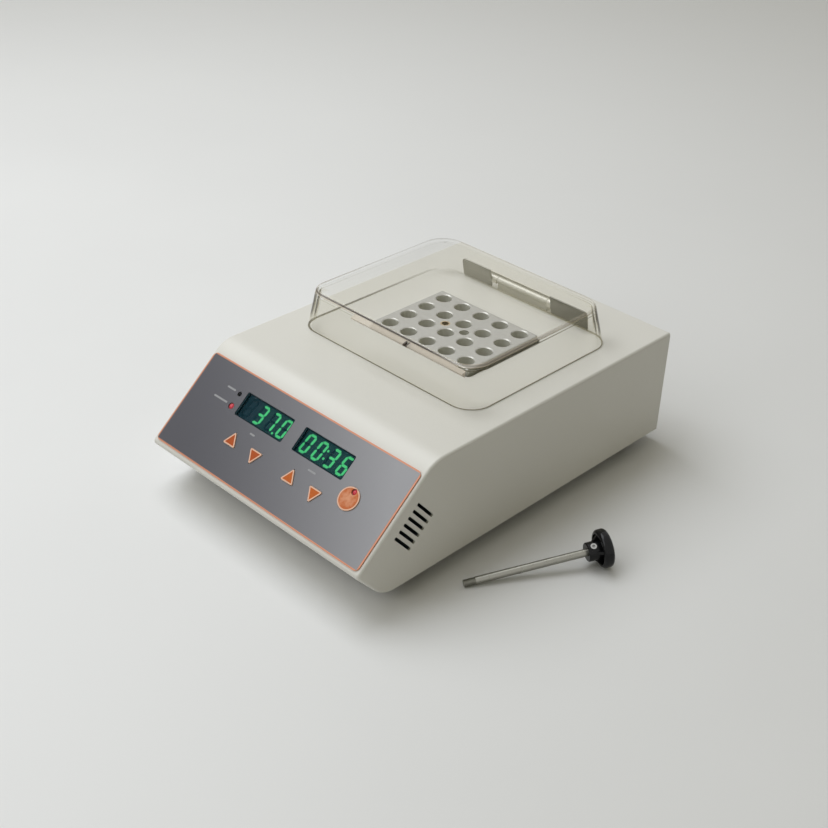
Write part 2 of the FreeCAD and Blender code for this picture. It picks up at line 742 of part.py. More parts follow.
def display_digits():
    places = [(index - 1.5) * DIGIT_PITCH for index in range(4)]
    temperature, clock = DISPLAY_CENTRES
    bars = []
    for value, place in zip((3, 7, 0), places[1:]):
        bars += numeral(value, temperature + place)
    low = (SEGMENT_WIDTH - DIGIT_HEIGHT) / 2
    slant = low * math.tan(math.radians(DIGIT_SLANT))
    bars += lit_points(temperature + (places[2] + places[3]) / 2 + slant, (low,))
    for value, place in zip((0, 0, 3, 6), places):
        bars += numeral(value, clock + place)
    bars += lit_points(clock, (-DIGIT_HEIGHT / 5, DIGIT_HEIGHT / 5))
    return bars


KEY_TOP_N = OVERLAY_THICKNESS + KEY_PROUD
KEY_FLOOR_N = KEY_TRAVEL + 0.1
PLUNGER_TOP_N = BOARD_DEPTH_N + SWITCH_HEIGHT + 1.1
KEY_STEM_END_N = PLUNGER_TOP_N + KEY_TRAVEL + KEY_GAP


def key_stem(x, s):
    return cylinder(KEY_STEM_DIAMETER, KEY_FLOOR_N - KEY_STEM_END_N + 0.2, Vector(x, s, KEY_STEM_END_N))


def arrow_key(name):
    x = KEY_POSITIONS[name]
    base = Vector(x, KEY_S, KEY_FLOOR_N)
    pad = triangle(KEY_WIDTH, KEY_CORNER, base, KEY_TOP_N - KEY_FLOOR_N, "up" in name)
    return on_panel(pad.fuse(key_stem(x, KEY_S)).removeSplitter())


def start_key():
    base = Vector(START_KEY_X, START_KEY_S, KEY_FLOOR_N)
    pad = cylinder(START_KEY_DIAMETER, KEY_TOP_N - KEY_FLOOR_N, base)
    x, s, diameter = led_points()[2]
    pad = pad.cut(cylinder(diameter + 2 * LED_CLEARANCE, 4, Vector(x, s, -1)))
    return on_panel(pad.fuse(key_stem(START_KEY_X, START_KEY_S)).removeSplitter())


def status_led(x, s, diameter):
    """Lamp standing on the board, with a domed tip in its hole."""
    reach = OVERLAY_THICKNESS + LED_PROUD - diameter / 2 - BOARD_DEPTH_N
    column = cylinder(diameter, reach, Vector(x, s, BOARD_DEPTH_N))
    dome = Part.makeSphere(diameter / 2, Vector(x, s, BOARD_DEPTH_N + reach))
    return on_panel(column.fuse(dome).removeSplitter())


def board_hole_points():
    xs = (BOARD_X[0] + BOARD_HOLE_INSET, BOARD_X[1] - BOARD_HOLE_INSET)
    ss = (BOARD_S[0] + BOARD_HOLE_INSET, BOARD_S[1] - BOARD_HOLE_INSET)
    return [(x, s) for x in xs for s in ss]


def control_board():
    low = BOARD_DEPTH_N - BOARD_THICKNESS
    board = box(BOARD_X, BOARD_S, (low, BOARD_DEPTH_N))
    holes = [cylinder(BOARD_SCREW_DIAMETER, 4, Vector(x, s, low - 1)) for x, s in board_hole_points()]
    return on_panel(board.cut(holes))


def board_standoffs():
    """Studs welded under the slope that carry the board."""
    length = -WALL - BOARD_DEPTH_N
    return [on_panel(cylinder(STANDOFF_DIAMETER, length, Vector(x, s, BOARD_DEPTH_N)))
            for x, s in board_hole_points()]


def board_screws():
    low = BOARD_DEPTH_N - BOARD_THICKNESS
    screws = []
    for x, s in board_hole_points():
        base = Vector(x, s, low - SCREW_HEAD_HEIGHT)
        screw = pan_screw(BOARD_SCREW_DIAMETER, BOARD_THICKNESS, SCREW_HEAD, SCREW_HEAD_HEIGHT, base)
        screws.append(on_panel(screw))
    return screws


def tact_switch(x, s):
    body = box(around(x, SWITCH_SIZE), around(s, SWITCH_SIZE), (BOARD_DEPTH_N, BOARD_DEPTH_N + SWITCH_HEIGHT))
    plunger = cylinder(PLUNGER_DIAMETER, PLUNGER_TOP_N - BOARD_DEPTH_N, Vector(x, s, BOARD_DEPTH_N))
    return on_panel(body.fuse(plunger).removeSplitter())


def board_parts():
    """Controller, regulator, buzzer and connector under the control board."""
    low = BOARD_DEPTH_N - BOARD_THICKNESS
    chips = [
        box(around(place[0], size[0]), around(place[1], size[1]), (low - size[2], low))
        for place, size in (
            (CONTROLLER_PLACE, CONTROLLER_SIZE),
            (REGULATOR_PLACE, REGULATOR_SIZE),
            (CONNECTOR_PLACE, CONNECTOR_SIZE),
        )
    ]
    buzzer = cylinder(BUZZER_DIAMETER, BUZZER_HEIGHT, Vector(BUZZER_PLACE[0], BUZZER_PLACE[1], low), -Z_AXIS)
    return [on_panel(shape) for shape in chips + [buzzer]]


# Heating block and its chamber

def well_centres():
    xs = [(index - (WELL_COLUMNS - 1) / 2) * WELL_PITCH for index in range(WELL_COLUMNS)]
    ys = [BLOCK_CENTRE_Y + (index - (WELL_ROWS - 1) / 2) * WELL_PITCH for index in range(WELL_ROWS)]
    return [(x, y) for x in xs for y in ys]


def well_cut(x, y):
    """Round-bottomed well with a small chamfer at its mouth."""
    radius = WELL_DIAMETER / 2
    floor = BLOCK_TOP - WELL_DEPTH
    shaft = cylinder(WELL_DIAMETER, WELL_DEPTH - radius + 1, Vector(x, y, floor + radius))
    end = Part.makeSphere(radius, Vector(x, y, floor + radius))
    mouth_base = Vector(x, y, BLOCK_TOP - WELL_CHAMFER)
    mouth = Part.makeCone(radius, radius + 2 * WELL_CHAMFER, 2 * WELL_CHAMFER, mouth_base)
    return shaft.fuse([end, mouth])


PROBE_X = WELL_PITCH / 2


def heating_block():
    block = box(around(0, BLOCK_X), around(BLOCK_CENTRE_Y, BLOCK_Y), (BLOCK_BOTTOM, BLOCK_TOP))
    upper = [edge for edge in block.Edges if edge.CenterOfMass.z > BLOCK_BOTTOM + 1]
    block = block.makeFillet(BLOCK_EDGE, upper)
    cuts = [well_cut(x, y) for x, y in well_centres()]
    probe_low = Vector(PROBE_X, BLOCK_CENTRE_Y, BLOCK_TOP - PROBE_DEPTH)
    cuts.append(cylinder(PROBE_DIAMETER, PROBE_DEPTH + 1, probe_low))
    insert_low = Vector(-PROBE_X, BLOCK_CENTRE_Y, BLOCK_TOP - INSERT_LENGTH)
    cuts.append(cylinder(INSERT_DIAMETER, INSERT_LENGTH + 1, insert_low))
    return block.cut(cuts)


def lift_insert():
    """Threaded bush that the lifting tool screws into."""
    low = Vector(-PROBE_X, BLOCK_CENTRE_Y, BLOCK_TOP - INSERT_LENGTH)
    bush = cylinder(INSERT_DIAMETER, INSERT_LENGTH, low)
    return bush.cut(cylinder(LIFT_THREAD, INSERT_LENGTH, low + Z_AXIS * 2))


def chamber_liner():
    centre = Vector(0, BLOCK_CENTRE_Y, MAT_BOTTOM)
    outer_x = LINER_X + 2 * LINER_THICKNESS
    outer_y = LINER_Y + 2 * LINER_THICKNESS
    wall = plate(outer_x, outer_y, LINER_CORNER + LINER_THICKNESS, centre, FLANGE_TOP - MAT_BOTTOM)
    ears = Vector(0, BLOCK_CENTRE_Y, FLANGE_UNDER)
    flange = plate(outer_x + 2 * LINER_EAR, LINER_Y + 2, 2.0, ears, LINER_THICKNESS)
    hollow = plate(LINER_X, LINER_Y, LINER_CORNER, Vector(0, BLOCK_CENTRE_Y, MAT_BOTTOM - 1), CASE_HEIGHT)
    liner = wall.fuse(flange).cut(hollow)
    cuts = [cylinder(STUD_DIAMETER, 4, Vector(x, y, FLANGE_UNDER - 1)) for x, y in stud_points()]
    cuts.append(sensor_bore(SENSOR_DIAMETER + 1.0))
    return liner.cut(cuts).removeSplitter()


def stud_points():
    return [(x, BLOCK_CENTRE_Y + y) for x in (-STUD_X, STUD_X) for y in (-STUD_Y, STUD_Y)]


def liner_nuts():
    """Studs welded under the deck, each with its nut below the liner's ear."""
    fixings = []
    for x, y in stud_points():
        stud = cylinder(STUD_DIAMETER, STUD_LENGTH, Vector(x, y, FLANGE_TOP), -Z_AXIS)
        nut = cylinder(6.2, 2.4, Vector(x, y, FLANGE_UNDER), -Z_AXIS)
        fixings.append(stud.fuse(nut).removeSplitter())
    return fixings


SENSOR_Z = (PLATE_TOP + PLATE_BOTTOM) / 2
PLATE_FRONT = BLOCK_CENTRE_Y - LINER_Y / 2 + PLATE_GAP


def sensor_bore(diameter):
    """Bore for the sensor, from in front of the chamber into the heated plate."""
    start = Vector(0, PLATE_FRONT - SENSOR_TAIL, SENSOR_Z)
    return cylinder(diameter, SENSOR_TAIL + SENSOR_REACH, start, Y_AXIS)


def temperature_sensor():
    probe = sensor_bore(SENSOR_DIAMETER)
    collar = cylinder(SENSOR_DIAMETER + 2.0, 5.0, Vector(0, PLATE_FRONT - SENSOR_TAIL, SENSOR_Z), Y_AXIS)
    return probe.fuse(collar).removeSplitter()


def heater_plate():
    centre = Vector(0, BLOCK_CENTRE_Y, PLATE_BOTTOM)
    width = LINER_X - 2 * PLATE_GAP
    depth = LINER_Y - 2 * PLATE_GAP
    solid = plate(width, depth, LINER_CORNER - PLATE_GAP, centre, PLATE_THICKNESS)
    return solid.cut(sensor_bore(SENSOR_DIAMETER))


def heater_mat():
    centre = Vector(0, BLOCK_CENTRE_Y, MAT_BOTTOM)
    mat = plate(LINER_X - 2 * MAT_MARGIN, LINER_Y - 2 * MAT_MARGIN, 2.0, centre, MAT_THICKNESS)
    return mat.cut(cylinder(CUTOUT_DIAMETER + 2.0, 4, centre - Z_AXIS))


def insulation_jacket():
    centre = Vector(0, BLOCK_CENTRE_Y, MAT_BOTTOM)
    height = FLANGE_UNDER - MAT_BOTTOM
    jacket = plate(JACKET_X, JACKET_Y, LINER_CORNER + INSULATION, centre, height)
    hollow = plate(
        LINER_X + 2 * LINER_THICKNESS,
        LINER_Y + 2 * LINER_THICKNESS,
        LINER_CORNER + LINER_THICKNESS,
        centre - Z_AXIS,
        height + 2,
    )
    return jacket.cut([hollow, sensor_bore(SENSOR_DIAMETER + 1.0)])


def insulation_pad():
    centre = Vector(0, BLOCK_CENTRE_Y, PAD_BOTTOM)
    pad = plate(JACKET_X, BRIDGE_Y, 4.0, centre, PAD_THICKNESS)
    return pad.cut([cylinder(CUTOUT_DIAMETER + 2.0, PAD_THICKNESS + 2, centre - Z_AXIS), lead_notch()])


def thermal_cutout():
    """Safety thermostat clamped to the heated plate from below."""
    top = Vector(0, BLOCK_CENTRE_Y, PLATE_BOTTOM)
    body = cylinder(CUTOUT_DIAMETER, CUTOUT_HEIGHT, top, -Z_AXIS)
    blades = [
        box(around(x, 0.8), around(BLOCK_CENTRE_Y, 6.0), (top.z - CUTOUT_HEIGHT - 6.0, top.z - CUTOUT_HEIGHT))
        for x in (-4.0, 4.0)
    ]
    return body.fuse(blades).removeSplitter()


def heater_bridge():
    centre = Vector(0, BLOCK_CENTRE_Y, BRIDGE_BOTTOM)
    bridge = plate(BRIDGE_X, BRIDGE_Y, 3.0, centre, BRIDGE_THICKNESS)
    holes = [cylinder(POST_SCREW, 4, Vector(x, y, BRIDGE_BOTTOM - 1)) for x, y in BRIDGE_POSTS]
    holes.append(cylinder(CUTOUT_DIAMETER + 2.0, 4, centre - Z_AXIS))
    holes.append(lead_notch())
    return bridge.cut(holes)


def bridge_posts():
    height = BRIDGE_BOTTOM - BASE_TOP
    posts = []
    for x, y in BRIDGE_POSTS:
        post = cylinder(POST_DIAMETER, height, Vector(x, y, BASE_TOP))
        posts.append(post.cut(cylinder(POST_HOLE, height, Vector(x, y, BASE_TOP))))
    return posts


def bridge_screws():
    height = BRIDGE_BOTTOM - BASE_TOP
    length = height + BASE_THICKNESS + BRIDGE_THICKNESS
    screws = []
    for x, y in BRIDGE_POSTS:
        base = Vector(x, y, UNDER - SCREW_HEAD_HEIGHT)
        screws.append(pan_screw(POST_SCREW, length, SCREW_HEAD + 1, SCREW_HEAD_HEIGHT, base))
    return screws


# Lid and hinge

LID_LOW = DECK + LID_GAP
LID_TOP = DECK + LID_HEIGHT
LID_FRONT = BLOCK_CENTRE_Y - LID_AHEAD_OF_BLOCK
LID_REAR = BLOCK_CENTRE_Y + LID_BEHIND_BLOCK


def lid_section(z, inward):
    """Rounded rectangle of the lid at a height, moved inwards by a wall."""
    share = (z - LID_LOW) / (LID_TOP - LID_LOW)
    half_x = LID_BASE_X / 2 - share * LID_TAPER_SIDE - inward
    front = LID_FRONT + share * LID_TAPER_FRONT + inward
    rear = LID_REAR - share * LID_TAPER_REAR - inward
    corners = [
        base + share * (top - base) - inward
        for base, top in zip(LID_CORNERS_BASE, LID_CORNERS_TOP)
    ]
    points = [
        Vector(-half_x, front, z),
        Vector(half_x, front, z),
        Vector(half_x, rear, z),
        Vector(-half_x, rear, z),
    ]
    return rounded_wire(points, corners)


def lid_cover():
    shoulder = LID_TOP - LID_EDGE
    blend = LID_EDGE * (1 - math.cos(math.radians(45)))
    lower = Part.makeLoft([lid_section(LID_LOW, 0), lid_section(shoulder, 0)], True, True)
    middle = Part.makeLoft([lid_section(shoulder, 0), lid_section(LID_TOP - blend, blend)], True, True)
    upper = Part.makeLoft([lid_section(LID_TOP - blend, blend), lid_section(LID_TOP, LID_EDGE)], True, True)
    outer = lower.fuse([middle, upper]).removeSplitter()
    ends = (LID_LOW - 1.0, LID_TOP - LID_WALL)
    inner = Part.makeLoft([lid_section(z, LID_WALL) for z in ends], True, True)
    return outer.cut(inner)


def lid_lip():
    """Two wedge bars on the front wall, where fingers lift the lid."""
    bars = []
    high = LID_TOP - LIP_DROP
    for index in range(2):
        start = LIP_START_X + index * (LIP_BAR_LENGTH + LIP_BAR_GAP)
        points = [
            Vector(start, front_wall_y(high), high),
            Vector(start, front_wall_y(high) - LIP_DEPTH, high - 1.0),
            Vector(start, front_wall_y(high) - LIP_DEPTH, high - 2.2),
            Vector(start, front_wall_y(high - LIP_HEIGHT), high - LIP_HEIGHT),
        ]
        face = Part.Face(Part.makePolygon(points + points[:1]))
        bars.append(face.extrude(X_AXIS * LIP_BAR_LENGTH))
    body = lid_block()
    return [bar.cut(body) for bar in bars]


def lid_block():
    """Lid's outer body without its hollow, which trims what stands on it."""
    shoulder = LID_TOP - LID_EDGE
    return Part.makeLoft([lid_section(LID_LOW, 0), lid_section(shoulder, 0)], True, True)


def front_wall_y(z):
    """Place of the lid's front wall at a height."""
    return LID_FRONT + (z - LID_LOW) / (LID_TOP - LID_LOW) * LID_TAPER_FRONT


# Frame of the lid's leaning rear wall: x across, y up along it from its foot, z into the lid
WALL_LEAN = math.atan(LID_TAPER_REAR / (LID_HEIGHT - LID_GAP))
WALL_FRAME = FreeCAD.Placement(
    Vector(0, LID_REAR, LID_LOW), FreeCAD.Rotation(X_AXIS, 90 + math.degrees(WALL_LEAN))
)
PIN_Y = LID_REAR + PIN_BEHIND_WALL
PIN_Z = DECK + PIN_ABOVE_DECK
LEAF_NOTCH = BARREL_LENGTH + 2 * (EYE_GAP + EYE_WIDTH - EYE_ROOT)


def leaf_sheet():
    """Leaf's sheet behind the lid, with a notch from below for the barrel."""
    top = LEAF_LIFT + LEAF_HEIGHT
    sheet = box(around(0, LEAF_WIDTH), (LEAF_LIFT, top), (-LEAF_THICKNESS, 0))
    corners = [
        edge for edge in sheet.Edges
        if edge.CenterOfMass.y > top - 0.01 and abs(edge.tangentAt(edge.FirstParameter).z) > 0.9
    ]
    sheet = sheet.makeFillet(LEAF_CORNER, corners)
    notch = box(around(HINGE_X, LEAF_NOTCH), (LEAF_LIFT - 1, top - LEAF_STRIP), (-LEAF_THICKNESS - 1, 1))
    sheet = sheet.cut(notch)
    sheet.Placement = WALL_FRAME.multiply(sheet.Placement)
    return sheet


def pin_bore():
    """Bore for the hinge pin, all the way across."""
    diameter = HINGE_PIN_DIAMETER + 2 * PIN_CLEARANCE
    return cylinder(diameter, CASE_WIDTH, Vector(-CASE_WIDTH / 2, PIN_Y, PIN_Z), X_AXIS)


def hinge_leaf():
    """Steel leaf bonded behind the lid, with an eye at each end of the bracket's barrel."""
    low = PIN_Z - BARREL_DIAMETER / 2
    eyes = []
    for side in (-1, 1):
        inner_x = HINGE_X + side * (BARREL_LENGTH / 2 + EYE_GAP)
        span = sorted((inner_x, inner_x + side * EYE_WIDTH))
        eye = cylinder(BARREL_DIAMETER, EYE_WIDTH, Vector(span[0], PIN_Y, PIN_Z), X_AXIS)
        arm = box(span, (LID_REAR - LID_WALL, PIN_Y), (low, PIN_Z - EYE_GAP))
        eyes.append(eye.fuse(arm))
    solid = leaf_sheet().fuse(eyes).cut(lid_block())
    return solid.cut(pin_bore()).removeSplitter()


def bracket_screws():
    """Places of the two screws that hold the bracket, behind its barrel."""
    y = PIN_Y + BARREL_DIAMETER / 2 + BRACKET_LENGTH / 2 - 1.0
    return [(HINGE_X + side * HINGE_SCREW_X, y) for side in (-1, 1)]


def hinge_bracket():
    """Bracket on the deck whose barrel carries the hinge pin."""
    span = around(HINGE_X, BARREL_LENGTH)
    barrel = cylinder(BARREL_DIAMETER, BARREL_LENGTH, Vector(span[0], PIN_Y, PIN_Z), X_AXIS)
    front = PIN_Y - BRACKET_THICKNESS / 2
    web = box(span, (front, front + BRACKET_THICKNESS), (DECK, PIN_Z))
    foot_rear = PIN_Y + BARREL_DIAMETER / 2 + BRACKET_LENGTH - 4.0
    foot_plate = box(span, (front, foot_rear), (DECK, DECK + BRACKET_THICKNESS))
    solid = barrel.fuse([web, foot_plate])
    holes = [cylinder(HINGE_SCREW_DIAMETER, 8, Vector(x, y, DECK - 1)) for x, y in bracket_screws()]
    return solid.cut([pin_bore()] + holes).removeSplitter()


def hinge_screw(x, y):
    base = Vector(x, y, DECK + BRACKET_THICKNESS + HINGE_SCREW_HEAD_HEIGHT)
    length = BRACKET_THICKNESS + WALL + HINGE_SCREW_END
    return pan_screw(HINGE_SCREW_DIAMETER, length, SCREW_HEAD, HINGE_SCREW_HEAD_HEIGHT, base, -Z_AXIS)


def hinge_pin():
    reach = BARREL_LENGTH / 2 + EYE_GAP + EYE_WIDTH + 1.5
    return cylinder(HINGE_PIN_DIAMETER, 2 * reach, Vector(HINGE_X - reach, PIN_Y, PIN_Z), X_AXIS)


# Rear fittings

SOCKET_Z = INLET_Z + 6.2
DRAWER_Z = INLET_Z - 10.2


def mains_inlet():
    flange = box(
        around(INLET_X, INLET_FLANGE[0]),
        (REAR, REAR + INLET_FLANGE_THICKNESS),
        around(INLET_Z, INLET_FLANGE[1]),
    )
    depth = (REAR + INLET_FLANGE_THICKNESS - INLET_DEPTH, REAR)
    body = box(around(INLET_X, INLET_BODY[0]), depth, around(INLET_Z, INLET_BODY[1]))
    mouth = REAR + INLET_FLANGE_THICKNESS
    socket = socket_cut(mouth)
    drawer = box(
        around(INLET_X, DRAWER_SIZE[0] + 2 * BODY_GAP),
        (mouth - DRAWER_DEPTH - BODY_GAP, mouth + 1),
        around(DRAWER_Z, DRAWER_SIZE[1] + 2 * BODY_GAP),
    )
    return flange.fuse(body).removeSplitter().cut([socket, drawer] + inlet_pins())


def socket_cut(mouth):
    """Recess for a mains connector, with its two upper corners cut off."""
    half_x = SOCKET_SIZE[0] / 2
    low = SOCKET_Z - SOCKET_SIZE[1] / 2
    high = SOCKET_Z + SOCKET_SIZE[1] / 2
    corners = [
        (-half_x, low),
        (half_x, low),
        (half_x, high - SOCKET_CHAMFER),
        (half_x - SOCKET_CHAMFER, high),
        (SOCKET_CHAMFER - half_x, high),
        (-half_x, high - SOCKET_CHAMFER),
    ]
    points = [Vector(INLET_X + x, mouth - SOCKET_DEPTH, z) for x, z in corners]
    face = Part.Face(Part.makePolygon(points + points[:1]))
    return face.extrude(Y_AXIS * (SOCKET_DEPTH + 1))


def inlet_pins():
    """Three blades of the inlet, running through its inner wall to their tabs."""
    mouth = REAR + INLET_FLANGE_THICKNESS
    span = (mouth - INLET_DEPTH - PIN_TAB, mouth - SOCKET_DEPTH + PIN_LENGTH)
    pins = []
    for step in (-1, 0, 1):
        z = SOCKET_Z + (PIN_RISE if step == 0 else -PIN_RISE)
        pins.append(box(around(INLET_X + step * PIN_SPREAD, PIN_SIZE[0]), span, around(z, PIN_SIZE[1])))
    return pins


def fuse_drawer():
    mouth = REAR + INLET_FLANGE_THICKNESS
    tray = box(
        around(INLET_X, DRAWER_SIZE[0]),
        (mouth - DRAWER_DEPTH, mouth + 1.2),
        around(DRAWER_Z, DRAWER_SIZE[1]),
    )
    cradle = box(
        around(INLET_X, FUSE_DIAMETER + 0.6),
        (mouth - DRAWER_DEPTH + 1.0, mouth - DRAWER_DEPTH + 1.0 + FUSE_LENGTH + 0.2),
        (DRAWER_Z - FUSE_DIAMETER / 2, DRAWER_Z + DRAWER_SIZE[1]),
    )
    grip = box(around(INLET_X, 10.0), (mouth + 0.4, mouth + 2.0), (DRAWER_Z + 1.6, DRAWER_Z + 2.8))
    return tray.cut([cradle, grip])


def fuse():
    mouth = REAR + INLET_FLANGE_THICKNESS
    start = Vector(INLET_X, mouth - DRAWER_DEPTH + 1.1, DRAWER_Z)
    return cylinder(FUSE_DIAMETER, FUSE_LENGTH, start, Y_AXIS)


SWITCH_FACE = REAR + 2.0
ROCKER_PIVOT_Y = SWITCH_FACE - 3.4


def switch_frame():
    flange = box(around(SWITCH_X, SWITCH_FLANGE[0]), (REAR, SWITCH_FACE), around(INLET_Z, SWITCH_FLANGE[1]))
    body = box(
        around(SWITCH_X, SWITCH_BODY[0]),
        (REAR - SWITCH_DEPTH, REAR),
        around(INLET_Z, SWITCH_BODY[1]),
    )
    pocket = box(
        around(SWITCH_X, ROCKER_SIZE[0] + 2 * BODY_GAP),
        (SWITCH_FACE - 10.0, SWITCH_FACE + 1),
        around(INLET_Z, ROCKER_SIZE[1] + 2 * BODY_GAP),
    )
    return flange.fuse(body).removeSplitter().cut(pocket)


def switch_rocker():
    """Rocker cap about a level axis, resting in its on position."""
    half_z = ROCKER_SIZE[1] / 2
    face_y = SWITCH_FACE + 1.2
    outline = [
        Vector(0, ROCKER_PIVOT_Y - 2.4, INLET_Z - 2.4),
        Vector(0, ROCKER_PIVOT_Y + 1.0, INLET_Z - half_z),
        Vector(0, face_y + 0.5, INLET_Z - half_z + 0.5),
        Vector(0, face_y - 1.0, INLET_Z),
        Vector(0, face_y + 0.5, INLET_Z + half_z - 0.5),
        Vector(0, ROCKER_PIVOT_Y + 1.0, INLET_Z + half_z),
        Vector(0, ROCKER_PIVOT_Y - 2.4, INLET_Z + 2.4),
    ]
    cap = extrude_x(Part.makePolygon(outline + outline[:1]), ROCKER_SIZE[0])
    cap.translate(X_AXIS * SWITCH_X)
    cap.rotate(Vector(SWITCH_X, ROCKER_PIVOT_Y, INLET_Z), X_AXIS, ROCKER_TILT)
    return cap


# Inner electronics

POWER_HOLE_INSET = 4.0


def power_holes():
    across = (POWER_BOARD_X[0] + POWER_HOLE_INSET, POWER_BOARD_X[1] - POWER_HOLE_INSET)
    along = (POWER_Y[0] + POWER_HOLE_INSET, POWER_Y[1] - POWER_HOLE_INSET)
    return [(x, y) for x in across for y in along]


def power_board():
    board = box(POWER_BOARD_X, POWER_Y, (POWER_Z, POWER_Z + BOARD_THICKNESS))
    return board.cut([cylinder(BOARD_SCREW_DIAMETER, 4, Vector(x, y, POWER_Z - 1)) for x, y in power_holes()])


def power_posts():
    """Press-in posts on the base plate, each with a tip through the board."""
    posts = []
    for x, y in power_holes():
        post = cylinder(STANDOFF_DIAMETER, POWER_BOARD_LIFT, Vector(x, y, BASE_TOP))
        tip = cylinder(BOARD_SCREW_DIAMETER, POWER_BOARD_LIFT + BOARD_THICKNESS + 1, Vector(x, y, BASE_TOP))
        posts.append(post.fuse(tip).removeSplitter())
    return posts


def heat_sink():
    """Finned cooler standing on the power board."""
    width, height = HEAT_SINK_SIZE
    low = POWER_Z + BOARD_THICKNESS
    rise = (low, low + height)
    middle_y = sum(POWER_Y) / 2
    spine = box(around(HEAT_SINK_X, width), around(middle_y, SPINE_THICKNESS), rise)
    fins = [
        box(around(HEAT_SINK_X + step * FIN_PITCH, FIN_THICKNESS), (middle_y, middle_y + FIN_REACH), rise)
        for step in (-2, -1, 0, 1, 2)
    ]
    return spine.fuse(fins).removeSplitter()


def power_switching():
    """Triac on the cooler and the capacitors of the supply."""
    width, depth, height = TRIAC_SIZE
    low = POWER_Z + BOARD_THICKNESS
    middle_y = sum(POWER_Y) / 2
    back = middle_y - SPINE_THICKNESS / 2
    triac = box(around(HEAT_SINK_X, width), (back - depth, back), (low, low + height))
    feet = [Vector(x, middle_y + 2, low) for x in CAPACITOR_X]
    capacitors = [cylinder(CAPACITOR_DIAMETER, CAPACITOR_HEIGHT, foot) for foot in feet]
    return [triac] + capacitors


def terminal_block():
    top = POWER_Z + BOARD_THICKNESS
    depth = (POWER_Y[0] + 2.0, POWER_Y[1] - 9.0)
    body = box(around(TERMINAL_X, TERMINAL_WIDTH), depth, (top, top + TERMINAL_HEIGHT))
    notches = [
        cylinder(3.2, 4, Vector(TERMINAL_X, POWER_Y[0] + 4.5 + step * 4.0, top + TERMINAL_HEIGHT), -Z_AXIS)
        for step in range(3)
    ]
    return body.cut(notches)


def transformer_core():
    """Iron core with two windows, on its foot plate."""
    width, depth, height = TRANSFORMER_CORE
    base = BASE_TOP + 1.0
    core = box(around(TRANSFORMER_X, width), around(TRANSFORMER_Y, depth), (base, base + height))
    windows = [
        box(around(TRANSFORMER_X + side * width / 4, width / 6), around(TRANSFORMER_Y, depth + 2),
            (base + height / 6, base + height * 5 / 6))
        for side in (-1, 1)
    ]
    foot_plate = box(around(TRANSFORMER_X, TRANSFORMER_FOOT), around(TRANSFORMER_Y, depth), (BASE_TOP, base))
    return core.cut(windows).fuse(foot_plate).removeSplitter()


def transformer_winding():
    """Winding round the core's middle limb."""
    width, depth, height = TRANSFORMER_CORE
    base = BASE_TOP + 1.0
    span = (base + height / 6, base + height * 5 / 6)
    outer_y = around(TRANSFORMER_Y, depth + 2 * WINDING_OVERHANG)
    outer = box(around(TRANSFORMER_X, width * 2 / 3), outer_y, span)
    limb = box(around(TRANSFORMER_X, width / 3), around(TRANSFORMER_Y, depth), span)
    return outer.cut(limb)


def lead_notch():
    """Way for the heater lead through the pad and the bridge."""
    rear = BLOCK_CENTRE_Y + BRIDGE_Y / 2
    return box(around(HEATER_LEAD_X, 6.0), (rear - 6.0, rear + 1), (BRIDGE_BOTTOM - 1, MAT_BOTTOM + 0.01))


def connector_face():
    """Middle of the connector's outer face, in the panel's frame."""
    x, s = CONNECTOR_PLACE
    return x, s, BOARD_DEPTH_N - BOARD_THICKNESS - CONNECTOR_SIZE[2]


def control_cable():
    """From the control board's connector, past the chamber, to the power board."""
    start_x, start_s, low = connector_face()
    side_x = -JACKET_X / 2 - 12.0
    points = [
        PANEL.multVec(Vector(start_x - 4.0, start_s, low)),
        PANEL.multVec(Vector(start_x - 4.0, start_s, low - 10.0)),
        Vector(side_x, BLOCK_CENTRE_Y - JACKET_Y / 2, CABLE_Z),
        Vector(side_x, POWER_Y[0] - 8.0, CABLE_Z),
        Vector(CONTROL_END_X, POWER_Y[0] + 6.0, CABLE_Z + 8.0),
        Vector(CONTROL_END_X, POWER_Y[0] + 6.0, POWER_Z + BOARD_THICKNESS),
    ]
    return tube(points, 4.0, 3.0)


def sensor_lead():
    """From the sensor's tail to the control board's connector."""
    end_x, end_s, low = connector_face()
    tail = PLATE_FRONT - SENSOR_TAIL
    points = [
        Vector(0, tail, SENSOR_Z),
        Vector(0, tail - 14.0, SENSOR_Z),
        PANEL.multVec(Vector(end_x + 4.0, end_s, low - 14.0)),
        PANEL.multVec(Vector(end_x + 4.0, end_s, low)),
    ]
    return tube(points, 2.4, 3.0)


def heater_lead():
    """From the heater mat, under the jacket, up on to the power board."""
    rear = BLOCK_CENTRE_Y + BRIDGE_Y / 2 - 3.0
    points = [
        Vector(HEATER_LEAD_X, rear, MAT_BOTTOM),
        Vector(HEATER_LEAD_X, rear, BASE_TOP + 6.0),
        Vector(HEATER_LEAD_X, POWER_Y[0] - 7.0, BASE_TOP + 6.0),
        Vector(HEATER_LEAD_X, POWER_Y[0] - 7.0, CABLE_Z + 2.0),
        Vector(HEATER_LEAD_X, POWER_Y[0] + 4.0, CABLE_Z + 2.0),
        Vector(HEATER_LEAD_X, POWER_Y[0] + 4.0, POWER_Z + BOARD_THICKNESS),
    ]
    return tube(points, 3.0, 2.5)


